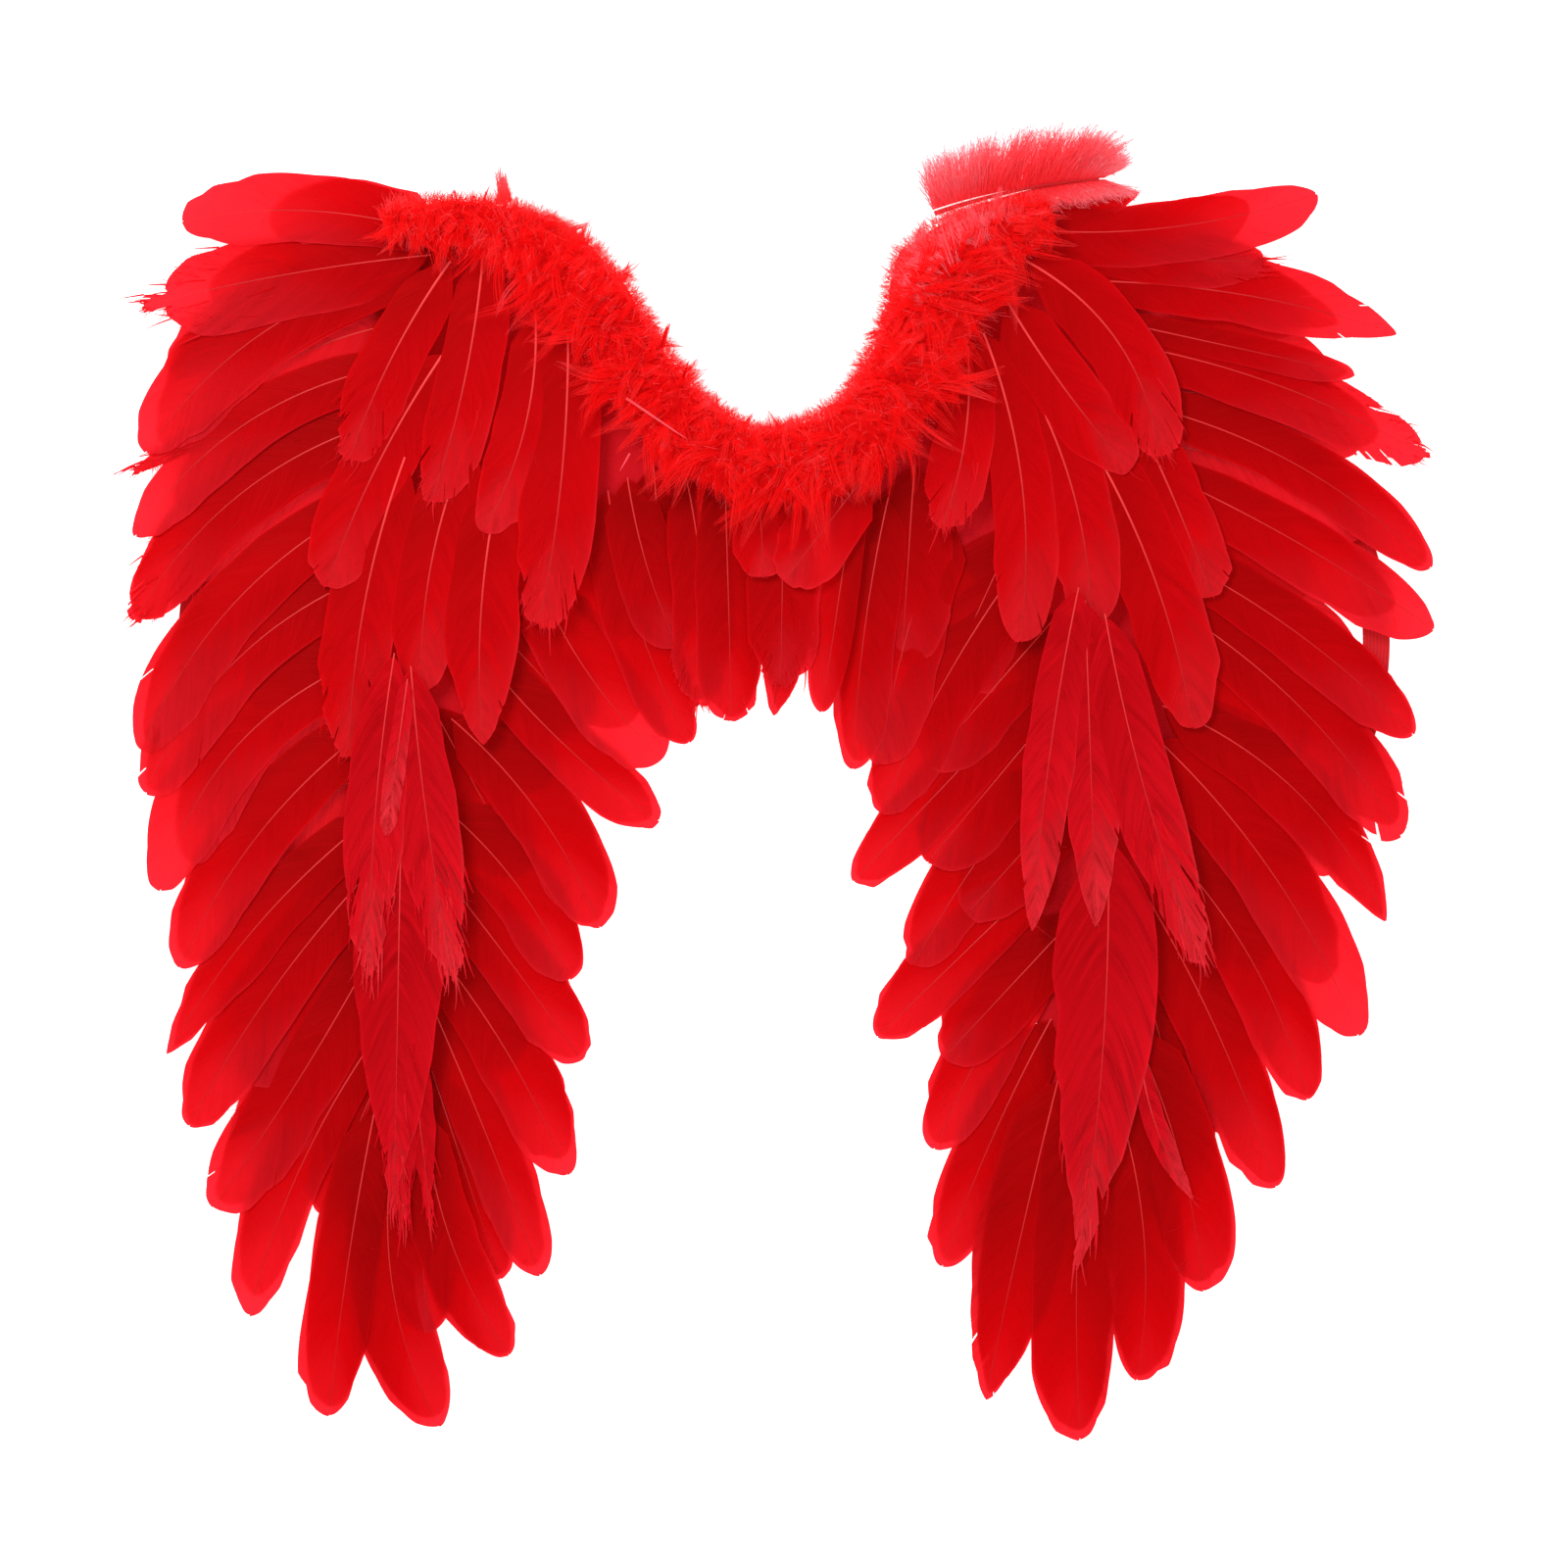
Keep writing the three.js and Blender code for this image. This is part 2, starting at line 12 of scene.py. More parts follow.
import bpy
import numpy as np
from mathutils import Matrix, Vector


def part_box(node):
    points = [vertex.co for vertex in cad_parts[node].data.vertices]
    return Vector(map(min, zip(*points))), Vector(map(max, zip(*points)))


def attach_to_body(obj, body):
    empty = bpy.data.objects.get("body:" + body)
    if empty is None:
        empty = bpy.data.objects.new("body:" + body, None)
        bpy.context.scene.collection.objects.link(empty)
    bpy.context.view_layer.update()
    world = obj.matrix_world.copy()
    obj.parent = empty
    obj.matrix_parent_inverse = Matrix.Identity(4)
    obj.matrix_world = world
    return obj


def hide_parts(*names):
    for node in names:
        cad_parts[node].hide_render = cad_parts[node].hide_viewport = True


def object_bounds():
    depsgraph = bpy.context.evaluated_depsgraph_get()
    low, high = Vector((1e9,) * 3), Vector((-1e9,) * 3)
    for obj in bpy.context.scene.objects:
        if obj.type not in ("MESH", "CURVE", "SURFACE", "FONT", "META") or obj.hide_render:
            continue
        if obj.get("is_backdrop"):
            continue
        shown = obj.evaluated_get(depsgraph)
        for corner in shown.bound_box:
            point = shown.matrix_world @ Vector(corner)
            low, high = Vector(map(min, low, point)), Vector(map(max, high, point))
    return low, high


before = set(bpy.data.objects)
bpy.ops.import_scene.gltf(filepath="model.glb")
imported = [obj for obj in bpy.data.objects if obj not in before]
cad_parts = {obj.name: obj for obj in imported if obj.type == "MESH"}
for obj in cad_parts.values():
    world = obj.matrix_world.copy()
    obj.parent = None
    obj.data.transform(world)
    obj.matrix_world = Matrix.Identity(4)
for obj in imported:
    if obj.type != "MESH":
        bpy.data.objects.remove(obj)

LOG = logging.getLogger("angel_wings")

MM = 0.001
Array = np.ndarray
Colour = tuple[float, float, float]

# The solids' height and lowest point, and the right strap's outer edge, in grid units
GRID_HEIGHT = 200.63
GRID_FOOT = -100.303
STRAP_EDGE = 93.083

# Sizes of the solids that the looks repeat
VANE_WIDE = 36 * MM
ROW_HIGH = 3.6 * MM
TIP_DROOP = 3.4 * MM
DROOP_SIDE = 67.0
DROOP_FOOT = 58.0
STRAP_CENTRE = (56.0, 22.0)
STRAP_REACH = 105 * MM
STRAP_RISE = 120 * MM
STRAP_TAIL = 20 * MM
STRAP_WIDE = 12.5 * MM
STRAP_THICK = 1.2 * MM
TRIM_REACH = 28.5 * MM
TRIM_HIGH = 17 * MM
TRIM_FLOOR = 16.5 * MM
SKIRT_FLOOR = 2 * MM
TRIM_CUTS = (0.43, 0.62)

# A common vane's half width along the feather, before it closes at the tip
VANE_ALONG = (0, 0.08, 0.2, 0.45, 0.7, 1)
VANE_SHARE = (0.5, 0.76, 0.88, 0.97, 1, 1)


# Shader maths


class Wire:
    """An output of a shader node, on which Python's sums add Math nodes."""

    def __init__(self, graph: "Graph", socket: bpy.types.NodeSocket) -> None:
        """Keeps the graph and the socket."""
        self.graph = graph
        self.socket = socket

    def _math(self, operation: str, first: "Number", second: "Number") -> "Wire":
        """Adds one Math node and gives its result."""
        return self.graph.node("Math", {"operation": operation}, {0: first, 1: second})

    def __add__(self, other: "Number") -> "Wire":
        """Sum."""
        return self._math("ADD", self, other)

    __radd__ = __add__

    def __sub__(self, other: "Number") -> "Wire":
        """Difference."""
        return self._math("SUBTRACT", self, other)

    def __rsub__(self, other: "Number") -> "Wire":
        """Difference from a number on the left."""
        return self._math("SUBTRACT", other, self)

    def __mul__(self, other: "Number") -> "Wire":
        """Product."""
        return self._math("MULTIPLY", self, other)

    __rmul__ = __mul__

    def __pow__(self, other: "Number") -> "Wire":
        """Power."""
        return self._math("POWER", self, other)

    def __rpow__(self, other: "Number") -> "Wire":
        """Power of a number on the left."""
        return self._math("POWER", other, self)


Number = Wire | float


class Graph:
    """A material's node graph, built from nodes and wires."""

    def __init__(self, name: str) -> None:
        """Makes an empty material.

        Args:
            name: The material's name.
        """
        self.material = bpy.data.materials.new(name)
        self.material.use_nodes = True
        self.tree = self.material.node_tree
        self.tree.nodes.clear()

    def node(
        self,
        kind: str,
        settings: dict[str, object] | None = None,
        sockets: dict[str | int, object] | None = None,
        output: str | int = 0,
    ) -> Wire:
        """Adds a node.

        Args:
            kind: The node's type without its ShaderNode prefix.
            settings: Its settings, which are set first. A ramp's stops are under "stops".
            sockets: A value or a wire for each input, by name or number.
            output: The output that is given back, by name or number.

        Returns:
            The chosen output.
        """
        made = self.tree.nodes.new("ShaderNode" + kind)
        for key, value in (settings or {}).items():
            if key == "stops":
                self._stops(made.color_ramp, value)
            else:
                setattr(made, key, value)
        for key, value in (sockets or {}).items():
            if isinstance(value, Wire):
                self.tree.links.new(value.socket, made.inputs[key])
            else:
                made.inputs[key].default_value = value
        return Wire(self, made.outputs[output]) if len(made.outputs) else Wire(self, None)

    @staticmethod
    def _stops(ramp: bpy.types.ColorRamp, stops: list[tuple[float, Colour]]) -> None:
        """Sets a ramp's stops.

        Args:
            ramp: The ramp.
            stops: Places from 0 to 1, each with its colour.
        """
        while len(ramp.elements) < len(stops):
            ramp.elements.new(1.0)
        for element, (place, colour) in zip(ramp.elements, stops):
            element.position = place
            element.color = (*colour, 1.0)

    def mix(self, share: Number, first: object, second: object) -> Wire:
        """Mixes two colours.

        Args:
            share: How much of the second, from 0 to 1.
            first: A colour or a wire.
            second: A colour or a wire.

        Returns:
            The mixed colour.
        """
        shades = [v if isinstance(v, Wire) else (*v, 1.0) for v in (first, second)]
        return self.node(
            "Mix", {"data_type": "RGBA"}, {0: share, 6: shades[0], 7: shades[1]}, 2
        )

    def finish(self, surface: Wire) -> bpy.types.Material:
        """Wires a shader to the output.

        Args:
            surface: The shader.

        Returns:
            The material.
        """
        self.node("OutputMaterial", {}, {"Surface": surface})
        return self.material


@dataclass(frozen=True)
class VaneFinish:
    """Dyed vane of a feather: fine barbs that let some light through.

    Coordinates "barb" run along the quill in millimetres and out along the barb in shares, and "tone"
    holds how pale a place is and a number that differs between feathers. Besides the dye, the paleness
    carries painted shade near the roots and on the tucked sides, and painted light on the free sides and
    tips.
    holds how pale a place is and a number that differs between feathers.
    """

    name: str = "vane_red"
    deep: Colour = (0.38, 0.0, 0.001)
    middle: Colour = (0.62, 0.0006, 0.003)
    pale: Colour = (0.86, 0.014, 0.026)
    through: Colour = (0.72, 0.018, 0.030)
    share_through: float = 0.47
    thin: float = 1.6
    # Paleness added at the vane's outer edge: a painted highlight along each feather's rim.
    edge: float = 0.3
    streak: float = 0.26
    grain: float = 1.1
    band: float = 0.24
    roughness: float = 0.5
    gloss: float = 0.03
    ridge: float = 0.2

    def build(self) -> bpy.types.Material:
        """Makes the material.

        Returns:
            The material.
        """
        g = Graph(self.name)
        barb = g.node("UVMap", {"uv_map": "barb"})
        tone = g.node("UVMap", {"uv_map": "tone"})
        along = g.node("SeparateXYZ", {}, {0: barb}, "X")
        out = g.node("SeparateXYZ", {}, {0: barb}, "Y")
        pale = g.node("SeparateXYZ", {}, {0: tone}, "X")
        own = g.node("SeparateXYZ", {}, {0: tone}, "Y")
        fine_at = g.node("CombineXYZ", {}, {0: along * self.grain, 1: out * 0.9, 2: own * 60.0})
        fine = g.node("TexNoise", {}, {"Vector": fine_at, "Scale": 1.0, "Detail": 3.0})
        wide_at = g.node("CombineXYZ", {}, {0: along * 0.16, 1: out * 1.2, 2: own * 90.0})
        wide = g.node("TexNoise", {}, {"Vector": wide_at, "Scale": 1.0, "Detail": 2.0})
        uneven = (fine - 0.5) * self.streak + (wide - 0.5) * self.band
        # The last term paints a highlight along the vane's outer edge.
        place = pale + uneven + out**28.0 * self.edge
        stops = [(0.0, self.deep), (0.5, self.middle), (1.0, self.pale)]
        shade = g.node("ValToRGB", {"stops": stops}, {0: place})
        normal = g.node(
            "Bump", {}, {"Strength": self.ridge, "Distance": 0.0006, "Height": fine}, "Normal"
        )
        surface = g.node(
            "BsdfPrincipled",
            {},
            {
                "Base Color": shade,
                "Roughness": fine * 0.2 + (self.roughness - 0.1),
                "Specular IOR Level": self.gloss,
                "Normal": normal,
            },
        )
        glow = g.node("BsdfTranslucent", {}, {"Color": (*self.through, 1.0)})
        thin = uneven * self.thin + (pale - 0.5) * 0.25 + self.share_through
        return g.finish(g.node("MixShader", {}, {0: thin, 1: surface, 2: glow}))


@dataclass(frozen=True)
class QuillFinish:
    """Smooth quill, pale near the root and as red as the vane at the tip."""

    name: str = "quill_pink"
    root: Colour = (0.85, 0.05, 0.05)
    tip: Colour = (0.42, 0.001, 0.003)
    roughness: float = 0.38
    gloss: float = 0.2

    def build(self) -> bpy.types.Material:
        """Makes the material.

        Returns:
            The material.
        """
        g = Graph(self.name)
        tone = g.node("UVMap", {"uv_map": "tone"})
        pale = g.node("SeparateXYZ", {}, {0: tone}, "X")
        own = g.node("SeparateXYZ", {}, {0: tone}, "Y")
        at = g.node("CombineXYZ", {}, {0: pale * 14.0, 1: own * 50.0, 2: 0.0})
        spots = g.node("TexNoise", {}, {"Vector": at, "Scale": 1.0, "Detail": 2.0})
        shade = g.mix(pale + (spots - 0.5) * 0.3, self.tip, self.root)
        surface = g.node(
            "BsdfPrincipled",
            {},
            {
                "Base Color": shade,
                "Roughness": spots * 0.2 + (self.roughness - 0.1),
                "Specular IOR Level": self.gloss,
            },
        )
        return g.finish(surface)


@dataclass(frozen=True)
class FluffFinish:
    """Soft down: strands that are deep red where they stand, which is painted shade deep in the down, and
    pale and pink at their ends, which is painted light where single strands lie over the floor.
    """

    name: str = "marabou_red"
    deep: Colour = (0.55, 0.0, 0.002)
    middle: Colour = (0.93, 0.006, 0.007)
    warm: Colour = (1.0, 0.028, 0.030)
    pale: Colour = (1.0, 0.20, 0.25)
    through: Colour = (1.0, 0.022, 0.024)
    share_through: float = 0.5
    roughness: float = 0.8
    gloss: float = 0.08

    def build(self) -> bpy.types.Material:
        """Makes the material.

        Returns:
            The material.
        """
        g = Graph(self.name)
        barb = g.node("UVMap", {"uv_map": "barb"})
        tone = g.node("UVMap", {"uv_map": "tone"})
        out = g.node("SeparateXYZ", {}, {0: barb}, "Y")
        pale = g.node("SeparateXYZ", {}, {0: tone}, "X")
        own = g.node("SeparateXYZ", {}, {0: tone}, "Y")
        at = g.node("CombineXYZ", {}, {0: own * 70.0, 1: out * 3.0, 2: 0.0})
        hairs = g.node("TexNoise", {}, {"Vector": at, "Scale": 1.0, "Detail": 2.0})
        place = pale + (hairs - 0.5) * 0.16
        stops = [(0.0, self.deep), (0.35, self.middle), (0.65, self.warm), (1.0, self.pale)]
        shade = g.node("ValToRGB", {"stops": stops}, {0: place})
        surface = g.node(
            "BsdfPrincipled",
            {},
            {
                "Base Color": shade,
                "Roughness": hairs * 0.15 + (self.roughness - 0.05),
                "Specular IOR Level": self.gloss,
            },
        )
        glow = g.node("BsdfTranslucent", {}, {"Color": (*self.through, 1.0)})
        return g.finish(
            g.node("MixShader", {}, {0: self.share_through, 1: surface, 2: glow})
        )


@dataclass(frozen=True)
class ElasticFinish:
    """Woven elastic tape: ribs along it and fine threads across."""

    name: str = "elastic_red"
    low: Colour = (0.42, 0.003, 0.008)
    high: Colour = (0.72, 0.012, 0.022)
    ribs: float = 8.0
    thread: float = 0.9

    def build(self) -> bpy.types.Material:
        """Makes the material.

        Returns:
            The material.
        """
        g = Graph(self.name)
        weave = g.node("UVMap", {"uv_map": "barb"})
        along = g.node("SeparateXYZ", {}, {0: weave}, "X")
        side = g.node("SeparateXYZ", {}, {0: weave}, "Y")
        rib = g.node("Math", {"operation": "SINE"}, {0: side * (2 * math.pi * self.ribs)})
        pick = g.node("Math", {"operation": "SINE"}, {0: along * (2 * math.pi / self.thread)})
        cloth = rib * 0.3 + rib * pick * 0.3 + 0.5
        worn = g.node("TexNoise", {}, {"Vector": weave, "Scale": 0.35, "Detail": 4.0})
        shade = g.mix(cloth * 0.7 + worn * 0.3, self.low, self.high)
        normal = g.node(
            "Bump", {}, {"Strength": 0.5, "Distance": 0.0003, "Height": cloth}, "Normal"
        )
        surface = g.node(
            "BsdfPrincipled",
            {},
            {
                "Base Color": shade,
                "Roughness": worn * 0.2 + 0.6,
                "Specular IOR Level": 0.2,
                "Normal": normal,
            },
        )
        return g.finish(surface)


@dataclass(frozen=True)
class FeltFinish:
    """Pressed felt: a tangle of short hairs in slightly uneven dye."""

    name: str = "felt_red"
    low: Colour = (0.40, 0.002, 0.006)
    high: Colour = (0.62, 0.006, 0.014)

    def build(self) -> bpy.types.Material:
        """Makes the material.

        Returns:
            The material.
        """
        g = Graph(self.name)
        where = g.node("TexCoord", {}, {}, "Object")
        hairs = g.node("TexNoise", {}, {"Vector": where, "Scale": 900.0, "Detail": 5.0})
        dye = g.node("TexNoise", {}, {"Vector": where, "Scale": 18.0, "Detail": 3.0})
        shade = g.mix(hairs * 0.6 + dye * 0.5 - 0.05, self.low, self.high)
        normal = g.node(
            "Bump", {}, {"Strength": 0.6, "Distance": 0.0004, "Height": hairs}, "Normal"
        )
        surface = g.node(
            "BsdfPrincipled",
            {},
            {
                "Base Color": shade,
                "Roughness": hairs * 0.1 + 0.85,
                "Specular IOR Level": 0.1,
                "Normal": normal,
            },
        )
        return g.finish(surface)


@dataclass(frozen=True)
class FloorFinish:
    """Plain white floor that is lit from below, like a light table's sheet."""

    name: str = "floor_sheet"
    shade: Colour = (0.93, 0.93, 0.93)
    glow: float = 0.85

    def build(self) -> bpy.types.Material:
        """Makes the material.

        Returns:
            The material.
        """
        g = Graph(self.name)
        where = g.node("TexCoord", {}, {}, "Object")
        grain = g.node("TexNoise", {}, {"Vector": where, "Scale": 300.0, "Detail": 3.0})
        tint = tuple(v * 0.98 for v in self.shade)
        surface = g.node(
            "BsdfPrincipled",
            {},
            {
                "Base Color": g.mix(grain, tint, self.shade),
                "Roughness": 0.9,
                "Specular IOR Level": 0.1,
                "Emission Color": (1.0, 1.0, 1.0, 1.0),
                "Emission Strength": self.glow,
            },
        )
        return g.finish(surface)


# Geometry helpers


@dataclass(frozen=True)
class Grid:
    """Turns grid units into metres.

    Args:
        unit: Metres in one grid unit.
        middle: Where the picture's middle lies, in metres.
    """

    unit: float
    middle: tuple[float, float]

    @classmethod
    def from_frame(cls) -> "Grid":
        """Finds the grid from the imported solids.

        Returns:
            The grid.
        """
        low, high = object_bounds()
        unit = (high.y - low.y) / GRID_HEIGHT
        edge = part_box("elastic_strap_right")[1].x
        return cls(unit, (edge - STRAP_EDGE * unit, low.y - GRID_FOOT * unit))

    def at(self, x: Array | float, y: Array | float) -> Array:
        """Gives a place in metres, as an array whose last axis is x, y."""
        return np.stack(
            [np.asarray(x) * self.unit + self.middle[0], np.asarray(y) * self.unit + self.middle[1]],
            -1,
        )

    def droop(self, places: Array) -> Array:
        """Finds how far feathers beyond the panel hang down.

        Args:
            places: Places in metres.

        Returns:
            The drop at each place, in metres.
        """
        x = (places[..., 0] - self.middle[0]) / self.unit
        y = (places[..., 1] - self.middle[1]) / self.unit
        side = np.clip(np.abs(x) - DROOP_SIDE, 0, None) / (100 - DROOP_SIDE)
        foot = np.clip(-y - DROOP_FOOT, 0, None) / (100 - DROOP_FOOT)
        return TIP_DROOP * np.minimum(1.0, side**2 + foot**2)


class Strips:
    """Gathers grids of points as four-sided faces, and makes one mesh of them."""

    def __init__(self) -> None:
        """Starts empty."""
        self.points: list[Array] = []
        self.faces: list[Array] = []
        self.barb: list[Array] = []
        self.tone: list[Array] = []
        self.finish: list[Array] = []
        self.count = 0

    def add(
        self,
        points: Array,
        barb: Array,
        tone: Array,
        finish: int = 0,
        keep: Array | None = None,
    ) -> None:
        """Adds grids of points.

        Args:
            points: Places, shaped (..., rows, columns, 3).
            barb: Coordinates "barb" of each point.
            tone: Coordinates "tone" of each point.
            finish: Which of the piece's materials the faces take.
            keep: Which faces are made, or all.
        """
        shape = points.shape[:-1]
        index = self.count + np.arange(np.prod(shape)).reshape(shape)
        quads = np.stack(
            [
                index[..., :-1, :-1],
                index[..., 1:, :-1],
                index[..., 1:, 1:],
                index[..., :-1, 1:],
            ],
            -1,
        )
        quads = quads[keep] if keep is not None else quads.reshape(-1, 4)
        self.points.append(points.reshape(-1, 3))
        self.barb.append(np.broadcast_to(barb, (*shape, 2)).reshape(-1, 2))
        self.tone.append(np.broadcast_to(tone, (*shape, 2)).reshape(-1, 2))
        self.faces.append(quads)
        self.finish.append(np.full(len(quads), finish))
        self.count += int(np.prod(shape))

    def piece(self, name: str, finishes: list[bpy.types.Material]) -> bpy.types.Object:
        """Makes the mesh and its object.

        Args:
            name: The piece's name.
            finishes: Its materials.

        Returns:
            The object, linked to the scene.
        """
        points = np.concatenate(self.points)
        faces = np.concatenate(self.faces)
        used, slots = np.unique(faces, return_inverse=True)
        slots = slots.reshape(-1)
        mesh = bpy.data.meshes.new(name)
        mesh.vertices.add(len(used))
        mesh.vertices.foreach_set("co", points[used].astype(np.float32).ravel())
        mesh.loops.add(len(slots))
        mesh.loops.foreach_set("vertex_index", slots.astype(np.int32))
        mesh.polygons.add(len(faces))
        mesh.polygons.foreach_set("loop_start", np.arange(0, len(slots), 4, dtype=np.int32))
        mesh.polygons.foreach_set("material_index", np.concatenate(self.finish).astype(np.int32))
        mesh.polygons.foreach_set("use_smooth", np.ones(len(faces), bool))
        for layer, values in (("barb", self.barb), ("tone", self.tone)):
            spread = np.concatenate(values)[used][slots]
            mesh.uv_layers.new(name=layer).uv.foreach_set(
                "vector", spread.astype(np.float32).ravel()
            )
        mesh.update(calc_edges=True)
        for material in finishes:
            mesh.materials.append(material)
        made = bpy.data.objects.new(name, mesh)
        bpy.context.scene.collection.objects.link(made)
        return made


def attach(piece: bpy.types.Object, slot: str, *nodes: str) -> bpy.types.Object:
    """Hands a piece to the frame.

    Args:
        piece: The piece.
        slot: The record's material slot of its finish. It is not used.
        nodes: The solids that it stands for.

    Returns:
        The piece.
    """
    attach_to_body(piece, "root")
    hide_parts(*nodes)
    LOG.info("%s: %d faces", piece.name, len(piece.data.polygons))
    return piece


def smooth(values: Array) -> Array:
    """Eases shares from 0 to 1 at both ends."""
    held = np.clip(values, 0, 1)
    return held * held * (3 - 2 * held)


def unit_of(vectors: Array) -> Array:
    """Scales vectors to length one."""
    return vectors / np.maximum(np.linalg.norm(vectors, axis=-1, keepdims=True), 1e-12)


def strands(
    bag: Strips,
    starts: Array,
    ways: Array,
    lengths: Array,
    bends: Array,
    wide: float,
    tone: tuple[Array, Array],
    own: Array,
    rng: np.random.Generator,
    steps: int = 3,
    level: float = 0.6,
) -> None:
    """Adds many thin curved strands, each a ribbon that narrows to its end.

    Args:
        bag: Where they go.
        starts: Where each one starts.
        ways: The way that each one sets out, of length one.
        lengths: How long each one is.
        bends: How its end is carried aside, in shares of its length.
        wide: Its width at the start.
        tone: How pale it is at its start and at its end.
        own: A number for each strand.
        rng: Seeded chance.
        steps: Faces along a strand.
        level: How far ribbons may turn from lying flat.
    """
    share = np.linspace(0, 1, steps + 1)
    line = (
        starts[:, None]
        + ways[:, None] * (lengths[:, None] * share)[..., None]
        + bends[:, None] * (lengths[:, None] * share**2)[..., None]
    )
    turned = np.array([0.0, 0.0, 1.0]) + level * rng.normal(size=(len(starts), 3))
    side = unit_of(np.cross(ways, turned))[:, None]
    half = (0.5 * wide * (1 - 0.8 * share**1.5))[None, :, None]
    points = np.stack([line - side * half, line + side * half], 2)
    points[..., 2] = np.maximum(points[..., 2], 0.3 * MM)
    barb = np.zeros((*points.shape[:-1], 2))
    barb[..., 1] = share[None, :, None]
    paint = np.zeros_like(barb)
    paint[..., 0] = (tone[0][:, None] * (1 - share) + tone[1][:, None] * share)[..., None]
    paint[..., 1] = own[:, None, None]
    bag.add(points, barb, paint)


# Feathers


class Tip(Enum):
    """How a feather's end looks."""

    ROUND = "round"
    POINT = "point"
    BLUNT = "blunt"
    FRAY = "fray"
    SHRED = "shred"
    SPEAR = "spear"
    TUFT = "tuft"


class VaneLook(Enum):
    """Which finish a row's vanes take."""

    BODY = "body"
    # Paler vanes, used on the raised covert rows.
    BRIGHT = "bright"
    DUSTY = "dusty"


@dataclass(frozen=True)
class TipShape:
    """How a vane closes at its tip.

    Args:
        start: Share of the feather at which its free side starts to close.
        tuck: How much earlier its tucked side starts to close.
        swell: Power of the closing curve's start.
        draw: Power of the closing curve's end.
        slant: How much more the barbs slant at the tip than at the root.
        fray: How uneven the barbs' ends are, as a share of their length.
        locks: How many cuts each side has.
        gap: How far a lock shrinks from its neighbours at its end, as a share of its width.
        hold: Least share of their length along which neighbouring locks hold together.
        loose: How many loose barbs each side has.
        whole: Share of the feather without cuts.
        tongues: How many long, thin locks lie on each side.
    """

    start: float
    tuck: float
    swell: float
    draw: float
    slant: float
    fray: float
    locks: int
    gap: float
    hold: float
    loose: int
    whole: float = 0.5
    tongues: int = 0

    def half(self, share: Array, free: float) -> Array:
        """Gives a side's width along the feather.

        Args:
            share: Shares along the quill.
            free: 1 for the side that lies free, and -1 for the tucked one.

        Returns:
            Widths, as shares of the side's widest.
        """
        start = self.start - self.tuck * (free < 0)
        closing = np.clip((share - start) / (1 - start), 0, 1)
        body = np.interp(share, VANE_ALONG, VANE_SHARE)
        return body * (1 - closing**self.swell) ** (1 / self.draw)


TIP_SHAPES = {
    Tip.ROUND: TipShape(0.70, 0.14, 2.4, 1.9, 1.1, 0.002, 0, 0.0, 1.0, 10),
    Tip.POINT: TipShape(0.56, 0.10, 1.7, 1.35, 1.3, 0.006, 1, 0.03, 0.85, 24),
    Tip.BLUNT: TipShape(0.76, 0.12, 2.6, 2.0, 1.1, 0.012, 1, 0.03, 0.7, 24, 0.6),
    Tip.FRAY: TipShape(0.72, 0.12, 2.3, 1.8, 1.7, 0.06, 5, 0.13, 0.6, 90, 0.6, 5),
    Tip.TUFT: TipShape(0.74, 0.04, 2.2, 1.6, 1.7, 0.07, 7, 0.25, 0.7, 130, 0.86, 8),
    Tip.SHRED: TipShape(0.55, 0.0, 1.9, 1.35, 3.4, 0.02, 5, 0.16, 0.5, 14, 0.55, 26),
    Tip.SPEAR: TipShape(0.26, 0.0, 1.5, 1.0, 2.8, 0.01, 2, 0.08, 0.6, 14, 0.6, 12),
}


@dataclass(frozen=True)
class Feather:
    """One feather: where its quill runs, and how it looks.

    Args:
        root_x: Quill's root, in grid units.
        root_y: Quill's root, in grid units.
        tip_x: Quill's tip, in grid units.
        tip_y: Quill's tip, in grid units.
        wide: Width in percent of a common vane's.
        bow: How far the quill bends to the left on its way, in grid units.
        tip: How its end looks.
        pale: How pale it is, in percent: partly its dye, and partly painted light, raised on feathers
            whose tips lie as a single layer over the floor.
        lift: Millimetres that it lies above its place in the row.
        lean: Share by which its left side is wider than half, and its right side narrower.
        free: Side that lies free: 1 for the left, -1 for the right, and 0 for the row's own.
    """

    root_x: float
    root_y: float
    tip_x: float
    tip_y: float
    wide: float
    bow: float
    tip: Tip = Tip.ROUND
    pale: float = 50
    lift: float = 0
    lean: float = 0
    free: int = 0

    def quill(self, grid: Grid) -> tuple[Array, Array, Array]:
        """Gives the quill's root, bend and tip in metres.

        Args:
            grid: The grid.

        Returns:
            The three points of its curve.
        """
        root = grid.at(self.root_x, self.root_y)
        tip = grid.at(self.tip_x, self.tip_y)
        run = tip - root
        left = np.array([-run[1], run[0]]) / np.linalg.norm(run)
        return root, (root + tip) / 2 + left * 2 * self.bow * grid.unit, tip


def quill_route(points: tuple[Array, Array, Array], share: Array) -> tuple[Array, Array]:
    """Places on a quill's curve, and the way to its left there.

    Args:
        points: Root, bend and tip.
        share: Shares of the way from root to tip.

    Returns:
        Places and unit vectors.
    """
    root, bend, tip = points
    t = share[..., None]
    place = root * (1 - t) ** 2 + bend * 2 * t * (1 - t) + tip * t**2
    along = unit_of((bend - root) * (1 - t) + (tip - bend) * t)
    return place, np.stack([-along[..., 1], along[..., 0]], -1)


